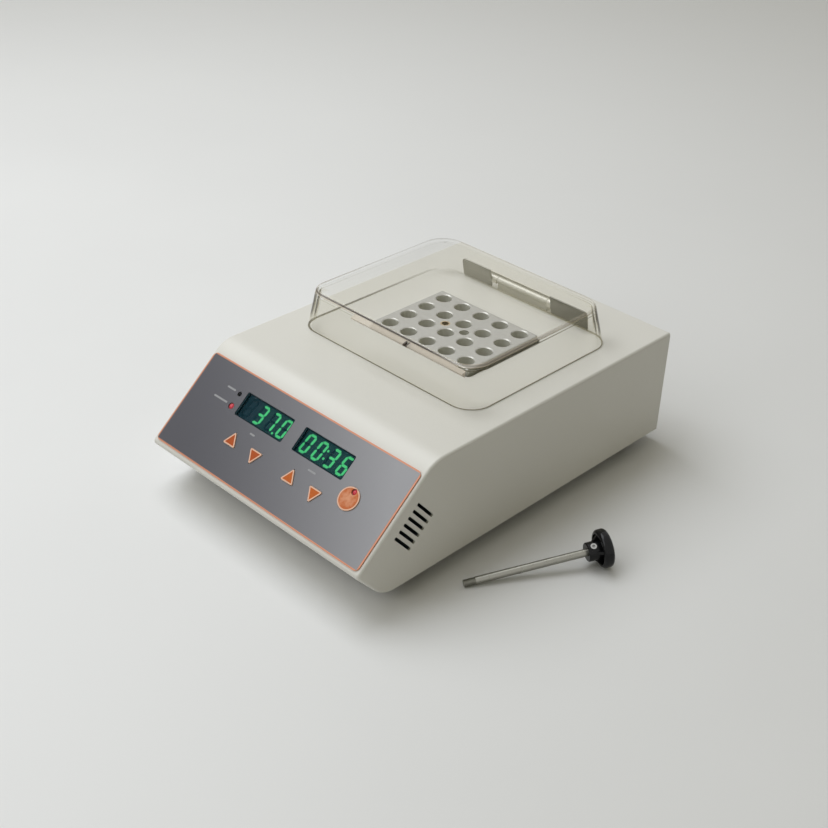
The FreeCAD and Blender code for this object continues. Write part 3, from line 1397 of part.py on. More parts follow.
def mains_lead():
    """From the inlet's nearer tab to the terminal block."""
    tab_y = REAR + INLET_FLANGE_THICKNESS - INLET_DEPTH - PIN_TAB
    tab = Vector(INLET_X + PIN_SPREAD, tab_y, SOCKET_Z - PIN_RISE)
    clear = tab - Y_AXIS * 4.0
    top = POWER_Z + BOARD_THICKNESS + TERMINAL_HEIGHT
    middle = POWER_Y[0] + 13.0
    points = [
        tab,
        clear,
        Vector(TERMINAL_X, clear.y, tab.z),
        Vector(TERMINAL_X, middle, tab.z),
        Vector(TERMINAL_X, middle, top),
    ]
    return tube(points, 2.4, 2.0)


def wiring_loom():
    return [control_cable(), sensor_lead(), heater_lead(), mains_lead()]


# Lifting tool

def tool_placement():
    """The tool lies on its rod's tip and on its knob's rim."""
    rise = (KNOB_DIAMETER - ROD_DIAMETER) / 2
    run = ROD_LENGTH + HUB_LENGTH + KNOB_EDGE - THREAD_PITCH / 2
    tilt = math.degrees(math.atan(rise / run))
    turn = FreeCAD.Rotation(Z_AXIS, TOOL_HEADING).multiply(FreeCAD.Rotation(Y_AXIS, -tilt))
    return FreeCAD.Placement(Vector(TOOL_TIP[0], TOOL_TIP[1], 0), turn)


def lay_tool(shapes):
    """Lay the tool's pieces on the bench together."""
    placed = []
    for shape in shapes:
        moved = shape.copy()
        moved.Placement = tool_placement().multiply(shape.Placement)
        placed.append(moved)
    lowest = min(shape.optimalBoundingBox().ZMin for shape in placed)
    for shape in placed:
        shape.translate(Z_AXIS * -lowest)
    return placed


def tool_rod():
    """Rod along +X from its threaded tip."""
    radius = ROD_DIAMETER / 2
    points = [Vector(0, 0, 0), Vector(0, 0, radius - THREAD_DEPTH)]
    turns = int(ROD_THREAD_LENGTH / THREAD_PITCH)
    for index in range(turns):
        start = index * THREAD_PITCH
        points.append(Vector(start + THREAD_PITCH / 2, 0, radius))
        points.append(Vector(start + THREAD_PITCH, 0, radius - THREAD_DEPTH))
    points.append(Vector(turns * THREAD_PITCH + THREAD_DEPTH, 0, radius))
    points.append(Vector(ROD_LENGTH + ROD_IN_KNOB, 0, radius))
    points.append(Vector(ROD_LENGTH + ROD_IN_KNOB, 0, 0))
    face = Part.Face(Part.makePolygon(points + points[:1]))
    return face.revolve(Vector(0, 0, 0), X_AXIS, 360)


KNOB_BACK = ROD_LENGTH + HUB_LENGTH
RECESS_DIAMETER = KNOB_DIAMETER - 2 * KNOB_RIM


def knob_grip():
    """Round grip with a crowned rim and a recess on the hub's side."""
    grip = cylinder(KNOB_DIAMETER, KNOB_THICKNESS, Vector(KNOB_BACK, 0, 0), X_AXIS)
    rims = [edge for edge in grip.Edges if len(edge.Vertexes) == 1]
    grip = grip.makeFillet(KNOB_EDGE, rims)
    return grip.cut(cylinder(RECESS_DIAMETER, KNOB_RECESS + 1, Vector(KNOB_BACK - 1, 0, 0), X_AXIS))


def knob_rib(index):
    """Web from the hub out to the rim, between the screw and its neighbours."""
    floor = KNOB_BACK + KNOB_RECESS
    inner = HUB_DIAMETER / 2 - RIB_ROOT
    outer = RECESS_DIAMETER / 2 + RIB_ROOT
    points = [
        Vector(floor, -RIB_THICKNESS / 2, inner),
        Vector(KNOB_BACK - RIB_RISE, -RIB_THICKNESS / 2, inner),
        Vector(KNOB_BACK + KNOB_EDGE / 2, -RIB_THICKNESS / 2, outer),
        Vector(floor, -RIB_THICKNESS / 2, outer),
    ]
    rib = Part.Face(Part.makePolygon(points + points[:1])).extrude(Y_AXIS * RIB_THICKNESS)
    rib.rotate(Vector(0, 0, 0), X_AXIS, SET_SCREW_TURN + (index + 0.5) * 360 / RIB_COUNT)
    return rib


def tool_knob():
    hub = cylinder(HUB_DIAMETER, HUB_LENGTH + KNOB_RECESS + 1, Vector(ROD_LENGTH, 0, 0), X_AXIS)
    front = [edge for edge in hub.Edges if abs(edge.CenterOfMass.x - ROD_LENGTH) < 0.01]
    hub = hub.makeChamfer(HUB_CHAMFER, front)
    knob = knob_grip().fuse([hub] + [knob_rib(index) for index in range(RIB_COUNT)])
    bore = cylinder(ROD_DIAMETER, ROD_IN_KNOB, Vector(ROD_LENGTH, 0, 0), X_AXIS)
    screw_hole = at_set_screw(cylinder(SET_SCREW_DIAMETER, HUB_DIAMETER, Vector(0, 0, 0)))
    return knob.cut([bore, screw_hole]).removeSplitter()


def at_set_screw(shape):
    """Move a shape drawn along +Z to the set screw's place in the hub."""
    shape.Placement = FreeCAD.Placement(
        Vector(ROD_LENGTH + HUB_LENGTH / 2, 0, 0), FreeCAD.Rotation(X_AXIS, SET_SCREW_TURN)
    ).multiply(shape.Placement)
    return shape


def tool_set_screw():
    """Grub screw with a hexagonal socket, pressed on the rod."""
    low = ROD_DIAMETER / 2
    high = HUB_DIAMETER / 2 + SET_SCREW_PROUD
    corner = SET_SCREW_KEY / math.sqrt(3)
    floor = high - SET_SCREW_KEY_DEPTH
    turns = [index * math.pi / 3 for index in range(6)]
    points = [Vector(corner * math.cos(turn), corner * math.sin(turn), floor) for turn in turns]
    socket = Part.Face(Part.makePolygon(points + points[:1])).extrude(Z_AXIS * (SET_SCREW_KEY_DEPTH + 1))
    screw = cylinder(SET_SCREW_DIAMETER, high - low, Vector(0, 0, low))
    return at_set_screw(screw.cut(socket))


def main():
    save("case_shell", case_shell())
    save("base_plate", base_plate())
    save("rear_panel", rear_panel())
    save("feet", *[foot(x, y) for x, y in FOOT_POSITIONS])
    save("foot_screws", *[foot_screw(x, y) for x, y in FOOT_POSITIONS])
    lower, rear = case_screws()
    save("base_screws", *lower)
    save("rear_screws", *rear)

    save("front_overlay", front_overlay())
    save("display_windows", *[display_window(x) for x in DISPLAY_CENTRES])
    save("display_modules", *[display_module(x) for x in DISPLAY_CENTRES])
    save("display_digits", *display_digits())
    for name in KEY_POSITIONS:
        save(name, arrow_key(name))
    save("start_key", start_key())
    lamps = [status_led(*lamp) for lamp in led_points()]
    save("off_led", lamps[0])
    save("lit_leds", *lamps[1:])
    save("control_board", control_board())
    save("board_standoffs", *board_standoffs())
    save("board_screws", *board_screws())
    save("tact_switches", *[tact_switch(x, s) for x, s in key_points()])
    save("board_parts", *board_parts())

    save("heating_block", heating_block())
    save("lift_insert", lift_insert())
    save("chamber_liner", chamber_liner())
    save("liner_nuts", *liner_nuts())
    save("heater_plate", heater_plate())
    save("heater_mat", heater_mat())
    save("insulation_jacket", insulation_jacket())
    save("insulation_pad", insulation_pad())
    save("heater_bridge", heater_bridge())
    save("bridge_posts", *bridge_posts())
    save("bridge_screws", *bridge_screws())
    save("temperature_sensor", temperature_sensor())
    save("thermal_cutout", thermal_cutout())

    save("lid_cover", lid_cover())
    save("lid_lip", *lid_lip())
    save("hinge_leaf", hinge_leaf())
    save("hinge_bracket", hinge_bracket())
    save("hinge_screws", *[hinge_screw(x, y) for x, y in bracket_screws()])
    save("hinge_pin", hinge_pin())

    save("mains_inlet", mains_inlet())
    save("inlet_pins", *inlet_pins())
    save("fuse_drawer", fuse_drawer())
    save("fuse", fuse())
    save("switch_frame", switch_frame())
    save("switch_rocker", switch_rocker())

    save("power_board", power_board())
    save("power_posts", *power_posts())
    save("heat_sink", heat_sink())
    save("power_switching", *power_switching())
    save("terminal_block", terminal_block())
    save("transformer_core", transformer_core())
    save("transformer_winding", transformer_winding())
    save("wiring_loom", *wiring_loom())

    rod, knob, set_screw = lay_tool([tool_rod(), tool_knob(), tool_set_screw()])
    save("tool_rod", rod)
    save("tool_knob", knob)
    save("tool_set_screw", set_screw)


main()
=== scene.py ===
# %% [markdown]
# # A dry bath for the lab bench
# The CAD model already holds the shape of every rigid piece, at its real size.
# This lesson dresses it: first the view and the light, then the finishes, and
# then the few pieces that look better modelled here, such as the clear lid.
# Everything is in metres, in the CAD model's own frame.

# %% Load the model
import math

import bpy
from mathutils import Matrix, Vector


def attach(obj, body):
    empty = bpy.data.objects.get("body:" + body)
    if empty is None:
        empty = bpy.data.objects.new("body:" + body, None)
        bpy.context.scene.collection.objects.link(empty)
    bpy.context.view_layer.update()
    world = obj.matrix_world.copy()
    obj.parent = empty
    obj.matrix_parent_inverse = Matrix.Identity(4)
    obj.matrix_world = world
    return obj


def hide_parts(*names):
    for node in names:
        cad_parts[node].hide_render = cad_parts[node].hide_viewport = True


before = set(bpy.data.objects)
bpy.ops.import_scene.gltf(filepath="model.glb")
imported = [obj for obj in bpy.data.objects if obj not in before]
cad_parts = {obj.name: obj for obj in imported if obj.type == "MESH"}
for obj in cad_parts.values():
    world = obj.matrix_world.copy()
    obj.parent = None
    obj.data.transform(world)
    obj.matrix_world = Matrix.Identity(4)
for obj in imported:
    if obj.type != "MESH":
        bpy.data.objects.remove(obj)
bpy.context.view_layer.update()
MM = 0.001

# %% [markdown]
# ## The camera
# The case's straight edges give the place of the camera: it looks from the
# front right, about 32 degrees down, and leans a little to one side. A turn
# about the upright axis, a tilt and a roll are multiplied in that order.

# %% Camera
CAMERA_AZIMUTH = math.radians(43.69)
CAMERA_ELEVATION = math.radians(32.09)
CAMERA_ROLL = math.radians(2.14)
CAMERA_PLACE = Vector((549.85, -578.15, 538.77)) * MM
SENSOR_WIDTH = 36.0
LENS = 59.3

camera_data = bpy.data.cameras.new("camera")
camera_data.sensor_width = SENSOR_WIDTH
camera_data.lens = LENS
camera = bpy.data.objects.new("camera", camera_data)
bpy.context.scene.collection.objects.link(camera)
turn = Matrix.Rotation(CAMERA_AZIMUTH, 4, "Z")
tilt = Matrix.Rotation(math.radians(90) - CAMERA_ELEVATION, 4, "X")
roll = Matrix.Rotation(CAMERA_ROLL, 4, "Z")
camera.matrix_world = Matrix.Translation(CAMERA_PLACE) @ turn @ tilt @ roll
bpy.context.scene.camera = camera
print("camera at", [round(value, 3) for value in CAMERA_PLACE])

# %% [markdown]
# ## The light
# A large lamp overhead and to the left makes the deck bright and leaves the
# right side in soft shade. A second lamp in front lifts the panel. Square
# lamps of a metre or more give the broad, soft shadows of a lit room, which a
# point or a sun would not.

# %% Lamps
KEY_PLACE = Vector((-0.72, -0.12, 1.40))
KEY_SIZE = 1.3
KEY_POWER = 17.3
FRONT_PLACE = Vector((-0.35, -1.30, 1.10))
FRONT_SIZE = 1.0
FRONT_POWER = 6.3
AIM = Vector((0.0, 0.0, 0.06))
LAMP_TINT = (0.95, 0.98, 1.03)


def add_lamp(name, place, size, power):
    """Square soft lamp, slightly cool, that faces the object."""
    data = bpy.data.lights.new(name, "AREA")
    data.shape = "SQUARE"
    data.color = LAMP_TINT
    data.size = size
    data.energy = power
    lamp = bpy.data.objects.new(name, data)
    lamp.location = place
    lamp.rotation_euler = (AIM - place).to_track_quat("-Z", "Y").to_euler()
    bpy.context.scene.collection.objects.link(lamp)


add_lamp("key_lamp", KEY_PLACE, KEY_SIZE, KEY_POWER)
add_lamp("front_lamp", FRONT_PLACE, FRONT_SIZE, FRONT_POWER)
print("lamps: 2")

# %% [markdown]
# ## The world
# The world fills the shadows. It is paler for the camera and for reflections
# than for the light that it gives, so that the metal has something bright to
# mirror while the shaded side stays dark. A Light Path node tells the two
# kinds of ray apart. A Mix node keeps a pair of inputs for each kind of data,
# so its colour inputs are picked by number.

# %% World
WORLD_FILL = (0.240, 0.230, 0.180, 1.0)
WORLD_SEEN = (0.900, 0.895, 0.880, 1.0)
MIX_FACTOR = 0
MIX_FIRST = 6
MIX_SECOND = 7
MIX_RESULT = 2

world = bpy.data.worlds.new("studio")
world.use_nodes = True
bpy.context.scene.world = world
world_tree = world.node_tree
background = world_tree.nodes["Background"]
rays = world_tree.nodes.new("ShaderNodeLightPath")
seen = world_tree.nodes.new("ShaderNodeMath")
seen.operation = "MAXIMUM"
world_tree.links.new(rays.outputs["Is Camera Ray"], seen.inputs[0])
world_tree.links.new(rays.outputs["Is Glossy Ray"], seen.inputs[1])
sky = world_tree.nodes.new("ShaderNodeMix")
sky.data_type = "RGBA"
sky.inputs[MIX_FIRST].default_value = WORLD_FILL
sky.inputs[MIX_SECOND].default_value = WORLD_SEEN
world_tree.links.new(seen.outputs[0], sky.inputs[MIX_FACTOR])
world_tree.links.new(sky.outputs[MIX_RESULT], background.inputs["Color"])
bpy.context.scene.view_settings.view_transform = "Standard"
print("world fill:", WORLD_FILL)

# %% [markdown]
# ## A small language for finishes
# A finish is a Principled shader with patterns behind its colour, roughness
# and bump. Wiring those by hand hides the idea, so a value on a socket is
# wrapped in a class that adds a Math node for each sum. A pattern then reads
# like a formula.

# %% Shader values


class Value:
    """A socket that takes part in ordinary sums."""

    def __init__(self, finish, socket):
        self.finish = finish
        self.socket = socket

    def math(self, operation, first, second=0.0):
        return self.finish.add("ShaderNodeMath", {"operation": operation}, {0: first, 1: second})

    def __add__(self, other):
        return self.math("ADD", self, other)

    def __radd__(self, other):
        return self.math("ADD", other, self)

    def __sub__(self, other):
        return self.math("SUBTRACT", self, other)

    def __rsub__(self, other):
        return self.math("SUBTRACT", other, self)

    def __mul__(self, other):
        return self.math("MULTIPLY", self, other)

    def __rmul__(self, other):
        return self.math("MULTIPLY", other, self)

    def size(self):
        return self.math("ABSOLUTE", self)

    def above(self, limit):
        return self.math("GREATER_THAN", self, limit)

    def most(self, other):
        return self.math("MAXIMUM", self, other)

    def least(self, other):
        return self.math("MINIMUM", self, other)

    def power(self, other):
        return self.math("POWER", self, other)


print("sums on sockets ready")

# %% [markdown]
# ## The finish class
# Every finish starts from the same few steps: a new material, its constants,
# the object's coordinates and a noise. The class holds those steps, so that a
# finish below says only what is its own. A noise keeps mostly to the middle
# of its range, so the roughness is spread over that middle.

# %% Finish class
NOISE_LOW = 0.3
NOISE_HIGH = 0.7


class Finish:
    """A material with one Principled shader and helpers for its patterns."""

    def __init__(self, name, **constants):
        self.material = bpy.data.materials.new(name)
        self.material.use_nodes = True
        self.tree = self.material.node_tree
        self.shader = self.tree.nodes["Principled BSDF"]
        for socket, value in constants.items():
            self.shader.inputs[socket.replace("_", " ")].default_value = value

    def add(self, kind, settings, inputs, output=0):
        """Add any node: its settings first, then the values or links of its sockets."""
        node = self.tree.nodes.new(kind)
        for name, value in settings.items():
            setattr(node, name, value)
        for name, value in inputs.items():
            if isinstance(value, Value):
                self.tree.links.new(value.socket, node.inputs[name])
            else:
                node.inputs[name].default_value = value
        return Value(self, node.outputs[output])

    def place(self, origin=(0, 0, 0), turn=(0, 0, 0)):
        """Object coordinates about an origin, turned, in millimetres."""
        coordinates = self.add("ShaderNodeTexCoord", {}, {}, "Object")
        settings = {"vector_type": "TEXTURE"}
        sockets = {"Vector": coordinates, "Location": origin, "Rotation": turn, "Scale": (MM, MM, MM)}
        return self.add("ShaderNodeMapping", settings, sockets)

    def split(self, vector):
        """The three parts of a vector."""
        node = self.tree.nodes.new("ShaderNodeSeparateXYZ")
        self.tree.links.new(vector.socket, node.inputs[0])
        return [Value(self, output) for output in node.outputs]

    def noise(self, vector, scale, detail=3.0, roughness=0.5):
        sockets = {"Vector": vector, "Scale": scale, "Detail": detail, "Roughness": roughness}
        return self.add("ShaderNodeTexNoise", {}, sockets)

    def blend(self, mask, first, second):
        """Colour that goes from the first to the second where the mask is one."""
        sockets = {MIX_FACTOR: mask, MIX_FIRST: first, MIX_SECOND: second}
        return self.add("ShaderNodeMix", {"data_type": "RGBA"}, sockets, MIX_RESULT)

    def spread(self, value, low, high, start=0.0, end=1.0):
        """Number moved from one range into another."""
        sockets = {"Value": value, "From Min": low, "From Max": high, "To Min": start, "To Max": end}
        return self.add("ShaderNodeMapRange", {}, sockets)

    def feed(self, socket, value):
        self.tree.links.new(value.socket, self.shader.inputs[socket])

    def gloss(self, noise, low, high):
        """Roughness that follows a noise between two limits."""
        self.feed("Roughness", self.spread(noise, NOISE_LOW, NOISE_HIGH, low, high))

    def bump(self, height, distance):
        """Relief of a given depth, from a height between zero and one."""
        self.feed("Normal", self.add("ShaderNodeBump", {}, {"Height": height, "Distance": distance}))


def colour(red, green, blue):
    return (red, green, blue, 1.0)


def dress(finish, *nodes):
    """Give a finish to CAD nodes."""
    for node in nodes:
        for slot in bpy.data.objects[node].material_slots:
            slot.material = finish.material


print("finish class ready")

# %% [markdown]
# ## Cream enamel
# The case is folded sheet with a baked coat. Up close such paint has a fine
# orange-peel ripple, and its colour drifts a little over a large face. A
# coarse noise and a fine one move the colour, and a third makes the relief.

# %% Enamel
CREAM = colour(0.70, 0.685, 0.635)
CREAM_LOW = colour(0.655, 0.64, 0.585)
DRIFT_SCALE = 0.012
GRAIN_SCALE = 1.65
DRIFT_SHARE = 0.7
ENAMEL_ROUGH = (0.34, 0.46)
PEEL_SCALE = 0.55
PEEL_DEPTH = 0.00006

enamel = Finish("cream_enamel", Specular_IOR_Level=0.5)
where = enamel.place()
drift = enamel.noise(where, DRIFT_SCALE, detail=4.0)
grain = enamel.noise(where, GRAIN_SCALE, detail=2.0)
peel = enamel.noise(where, PEEL_SCALE, detail=2.0)
cloudy = drift * DRIFT_SHARE + grain * (1.0 - DRIFT_SHARE)
enamel.feed("Base Color", enamel.blend(cloudy, CREAM_LOW, CREAM))
enamel.gloss(drift, *ENAMEL_ROUGH)
enamel.bump(peel, PEEL_DEPTH)
dress(enamel, "case_shell", "rear_panel")
print("enamel on the case")

# %% [markdown]
# ## Panel film
# The control panel is a printed film, grey with a copper line round its edge.
# The pattern needs the film's own directions: across, up the slope and out of
# it. A Mapping node of the texture type turns the object's coordinates into
# those, in millimetres from the nose line.

# %% Panel frame
SLOPE = math.radians(41.0)
NOSE = Vector((0.0, -150.272, 34.5)) * MM
PANEL_LENGTH = 73.5
PANEL_ORIGIN = tuple(NOSE)
PANEL_TURN = (SLOPE, 0.0, 0.0)
PANEL_RISE = Vector((0.0, math.cos(SLOPE), math.sin(SLOPE)))


def on_panel(x, s):
    """Point of the panel at millimetres across and up the slope, in metres."""
    return NOSE + Vector((x * MM, 0, 0)) + PANEL_RISE * (s * MM)


panel_matrix = Matrix.Translation(NOSE) @ Matrix.Rotation(SLOPE, 4, "X")
print("panel top at", [round(value, 4) for value in on_panel(0, PANEL_LENGTH)])

# %% [markdown]
# ## The film's print
# The copper line is where the distance to the nearest edge is small. The grey
# goes from dark at the left to pale at the upper right: a painted reflection,
# as the glossy film mirrors a room that is dim on the left. It is one straight
# ramp, bent by a power so that the dark part is the larger one.

# %% Film
FILM_HALF_WIDTH = 97.5
FILM_MIDDLE = 38.5
FILM_HALF_LENGTH = 35.0
LINE_WIDTH = 1.0
FILM_DARK = colour(0.050, 0.049, 0.060)
FILM_LIGHT = colour(0.262, 0.260, 0.270)
COPPER = colour(0.56, 0.22, 0.12)
FADE_HALF = 95.0
FADE_LEAN = 0.5
FADE_POWER = 1.7
SPECKLE_SCALE = 2.2
SPECKLE_SHARE = 0.06
SPECKLE_DEPTH = 0.00001
FILM_ROUGH = (0.33, 0.42)

film = Finish("panel_film", Specular_IOR_Level=0.5, Metallic=0.15)
x, s, n = film.split(film.place(PANEL_ORIGIN, PANEL_TURN))
speckle = film.noise(film.place(), SPECKLE_SCALE, detail=2.0)
from_side = FILM_HALF_WIDTH - x.size()
from_end = FILM_HALF_LENGTH - (s - FILM_MIDDLE).size()
edge_line = 1.0 - from_side.least(from_end).above(LINE_WIDTH)
# Painted reflection: the film is darker where it mirrors the dim left of the room.
painted_reflection = film.spread(x + (s - FILM_MIDDLE) * FADE_LEAN, -FADE_HALF, FADE_HALF).power(FADE_POWER)
tone = painted_reflection * (1.0 - SPECKLE_SHARE) + speckle * SPECKLE_SHARE
film.feed("Base Color", film.blend(edge_line, film.blend(tone, FILM_DARK, FILM_LIGHT), COPPER))
film.gloss(speckle, *FILM_ROUGH)
film.bump(speckle, SPECKLE_DEPTH)
dress(film, "front_overlay")
print("film dressed")

# %% [markdown]
# ## Arrow keys
# Each arrow is an orange triangle inside a pale printed outline. The left pair
# is painted darker, like the film's painted dim reflection on that side. The
# outline is where the distance to the nearest side is small, and that distance
# is the largest of three plane distances, of which two mirror each other. One
# function prints all four, with the upward direction turned over for the keys
# that point down.

# %% Arrow keys
KEY_S = 28.6
KEY_SIDE = 11.3
KEY_INRADIUS = KEY_SIDE / (2 * math.sqrt(3))
KEY_CORNER = math.radians(30)
RIM_WIDTH = 0.85
MOTTLE_SCALE = 0.9
ORANGE = colour(0.55, 0.125, 0.008)
ORANGE_DEEP = colour(0.43, 0.084, 0.005)
# The left keys' darker oranges are painted shade, the film's dim reflection on that side.
LEFT_SHADED_ORANGE = colour(0.44, 0.080, 0.004)
LEFT_SHADED_ORANGE_DEEP = colour(0.35, 0.056, 0.003)
RIM = colour(0.78, 0.48, 0.34)
KEYS = {
    "temp_up_key": (-40.5, 1, LEFT_SHADED_ORANGE_DEEP, LEFT_SHADED_ORANGE),
    "temp_down_key": (-17.6, -1, LEFT_SHADED_ORANGE_DEEP, LEFT_SHADED_ORANGE),
    "time_up_key": (16.1, 1, ORANGE_DEEP, ORANGE),
    "time_down_key": (38.8, -1, ORANGE_DEEP, ORANGE),
}


def arrow_finish(name, centre, direction, low, high):
    """Print of one key, about the middle of its triangle."""
    finish = Finish(name + "_print", Roughness=0.5, Specular_IOR_Level=0.25)
    x, s, n = finish.split(finish.place(tuple(on_panel(centre, KEY_S)), PANEL_TURN))
    up = s * direction
    slant = x.size() * math.cos(KEY_CORNER) + up * math.sin(KEY_CORNER)
    reach = slant.most(up * -1.0)
    rim = reach.above(KEY_INRADIUS - RIM_WIDTH)
    mottle = finish.noise(finish.place(), MOTTLE_SCALE)
    finish.feed("Base Color", finish.blend(rim, finish.blend(mottle, low, high), RIM))
    return finish


for key, values in KEYS.items():
    dress(arrow_finish(key, *values), key)
print("arrow keys:", len(KEYS))

# %% [markdown]
# ## Start key
# The start key is an orange disc with a pale ring. Its middle is paler, in an
# uneven patch, so a noise is added to the distance from the ring before the
# two oranges are blended.

# %% Start key
START = (63.2, 37.4)
START_RADIUS = 7.75
DISC = colour(0.52, 0.125, 0.026)
DISC_PALE = colour(0.68, 0.30, 0.16)
CLOUD_SCALE = 0.45
PALE_PER_MM = 0.07
PALE_SPAN = (0.5, 1.0)

disc = Finish("start_key_print", Roughness=0.5, Specular_IOR_Level=0.25)
x, s, n = disc.split(disc.place(tuple(on_panel(*START)), PANEL_TURN))
radius = (x * x + s * s).power(0.5)
ring = radius.above(START_RADIUS - RIM_WIDTH)
cloud = disc.noise(disc.place(), CLOUD_SCALE, detail=2.0)
pale_middle = disc.spread(cloud + (START_RADIUS - radius) * PALE_PER_MM, *PALE_SPAN)
disc.feed("Base Color", disc.blend(ring, disc.blend(pale_middle, DISC, DISC_PALE), RIM))
dress(disc, "start_key")
print("start key dressed")

# %% [markdown]
# ## Display windows
# The numerals glow behind dark windows. A window with some alpha lets them
# through and still shines on its face, while real glass would need many more
# samples. Only a box in front of each module is clear. Its soft edge comes
# from the distance beyond the box, spread over a few tenths of a millimetre.

# %% Windows
DISPLAYS = (-29.0, 27.5)
DISPLAY_S = 52.9
CLEAR_SHIFT = 0.5
CLEAR_HALF = (21.9, 7.8)
CLEAR_SOFT = 0.4
CLEAR_SHARE = 0.8
EDGE_HALF = (22.3, 7.9)
EDGE_SOFT = 0.3
GLASS_BLACK = colour(0.002, 0.010, 0.014)
GLASS_TEAL = colour(0.008, 0.030, 0.038)
CLEAR_BOXES = [((centre + CLEAR_SHIFT, DISPLAY_S), CLEAR_HALF) for centre in DISPLAYS]
EDGE_BOXES = [((centre, DISPLAY_S), EDGE_HALF) for centre in DISPLAYS]


def in_boxes(finish, x, s, boxes, soft):
    """One inside either of two boxes on the panel, falling to zero over a soft edge."""
    masks = []
    for middle, half in boxes:
        beyond_x = (x - middle[0]).size() - half[0]
        beyond_s = (s - middle[1]).size() - half[1]
        masks.append(finish.spread(beyond_x.most(beyond_s), 0.0, soft, 1.0, 0.0))
    left, right = masks
    return left.most(right)


glass = Finish("display_window", Roughness=0.05, Specular_IOR_Level=0.1)
x, s, n = glass.split(glass.place(PANEL_ORIGIN, PANEL_TURN))
clear_part = in_boxes(glass, x, s, CLEAR_BOXES, CLEAR_SOFT)
teal_part = in_boxes(glass, x, s, EDGE_BOXES, EDGE_SOFT)
glass.feed("Alpha", 1.0 - clear_part * CLEAR_SHARE)
glass.feed("Base Color", glass.blend(teal_part, GLASS_BLACK, GLASS_TEAL))
dress(glass, "display_windows")
print("windows:", len(CLEAR_BOXES))

# %% [markdown]
# ## Green halo
# The face of a module is nearly black, and the lit numerals spill some green
# on it. Light from the small bars would be noisy, so the spill is a faint
# glow of the face itself, in a soft box round the lit numerals. Elsewhere the
# face glows a dim teal: painted light in place of the lamps' light on it, so
# the window's dark edge casts no shadow on it.

# %% Green halo
TEAL_GLOW = colour(0.009, 0.030, 0.042)
HALO = colour(0.009, 0.050, 0.048)
HALO_SOFT = 3.5
LIT_BOXES = (((-23.3, DISPLAY_S), (13.6, 6.2)), ((27.5, DISPLAY_S), (19.6, 6.2)))

module = Finish("module_face", Base_Color=GLASS_BLACK, Specular_IOR_Level=0.1, Emission_Strength=1.0)
x, s, n = module.split(module.place(PANEL_ORIGIN, PANEL_TURN))
halo = in_boxes(module, x, s, LIT_BOXES, HALO_SOFT)
module.feed("Emission Color", module.blend(halo, TEAL_GLOW, HALO))
dress(module, "display_modules")
print("halo round the numerals")

# %% [markdown]
# ## Numerals and lamps
# A lit bar or lamp is coloured plastic over a small source, so it glows
# unevenly. A noise between two colours of the glow shows that. A lamp glows
# only at its dome: below a depth under the panel its glow is black.

# %% Glow
GREEN = colour(0.035, 0.46, 0.14)
GREEN_CORE = colour(0.07, 0.62, 0.21)
GREEN_STRENGTH = 1.0
RED = colour(0.40, 0.02, 0.035)
RED_CORE = colour(0.70, 0.07, 0.10)
RED_STRENGTH = 0.3
UNLIT_BLACK = colour(0.0, 0.0, 0.0)
LAMP_BLACK = colour(0.004, 0.004, 0.005)
GLOW_SCALE = 0.8
DISPLAY_DEPTH = 20.0
DOME_FROM = -0.8


def glowing(name, low, high, strength, lit_above=-DISPLAY_DEPTH):
    """Lit plastic, unevenly bright and dark below a depth under the panel."""
    finish = Finish(name, Base_Color=low, Roughness=0.4, Emission_Strength=strength)
    x, s, n = finish.split(finish.place(PANEL_ORIGIN, PANEL_TURN))
    uneven = finish.noise(finish.place(), GLOW_SCALE, detail=2.0)
    glow = finish.blend(uneven, low, high)
    finish.feed("Emission Color", finish.blend(n.above(lit_above), UNLIT_BLACK, glow))
    return finish


dress(glowing("lit_green", GREEN, GREEN_CORE, GREEN_STRENGTH), "display_digits")
dress(glowing("lit_red", RED, RED_CORE, RED_STRENGTH, DOME_FROM), "lit_leds")
dark_lamp = Finish("dark_lamp", Base_Color=LAMP_BLACK, Roughness=0.5, Specular_IOR_Level=0.1)
dress(dark_lamp, "off_led")
print("numerals and lamps dressed")

# %% [markdown]
# ## Metals
# A cutter or a brush leaves fine lines in metal. A noise whose scale is small
# along one direction is drawn out that way, and gives such lines to colour,
# roughness and relief together. With the same scale all round it only makes
# the metal faintly cloudy, as cast or plated pieces are.

# %% Metal finishes
MARK_DEPTH = 0.00001
METAL_SPREAD = 0.15


def metal(name, low, high, roughness, stretch=(1.0, 1.0, 1.0), scale=1.2, depth=MARK_DEPTH):
    """Metal with marks along the direction where the stretch is small."""
    finish = Finish(name, Metallic=1.0)
    coordinates = finish.add("ShaderNodeTexCoord", {}, {}, "Object")
    sockets = {"Vector": coordinates, "Scale": tuple(part / MM for part in stretch)}
    marks = finish.noise(finish.add("ShaderNodeMapping", {}, sockets), scale, detail=4.0, roughness=0.6)
    finish.feed("Base Color", finish.blend(marks, low, high))
    finish.gloss(marks, roughness * (1.0 - METAL_SPREAD), roughness * (1.0 + METAL_SPREAD))
    finish.bump(marks, depth)
    return finish


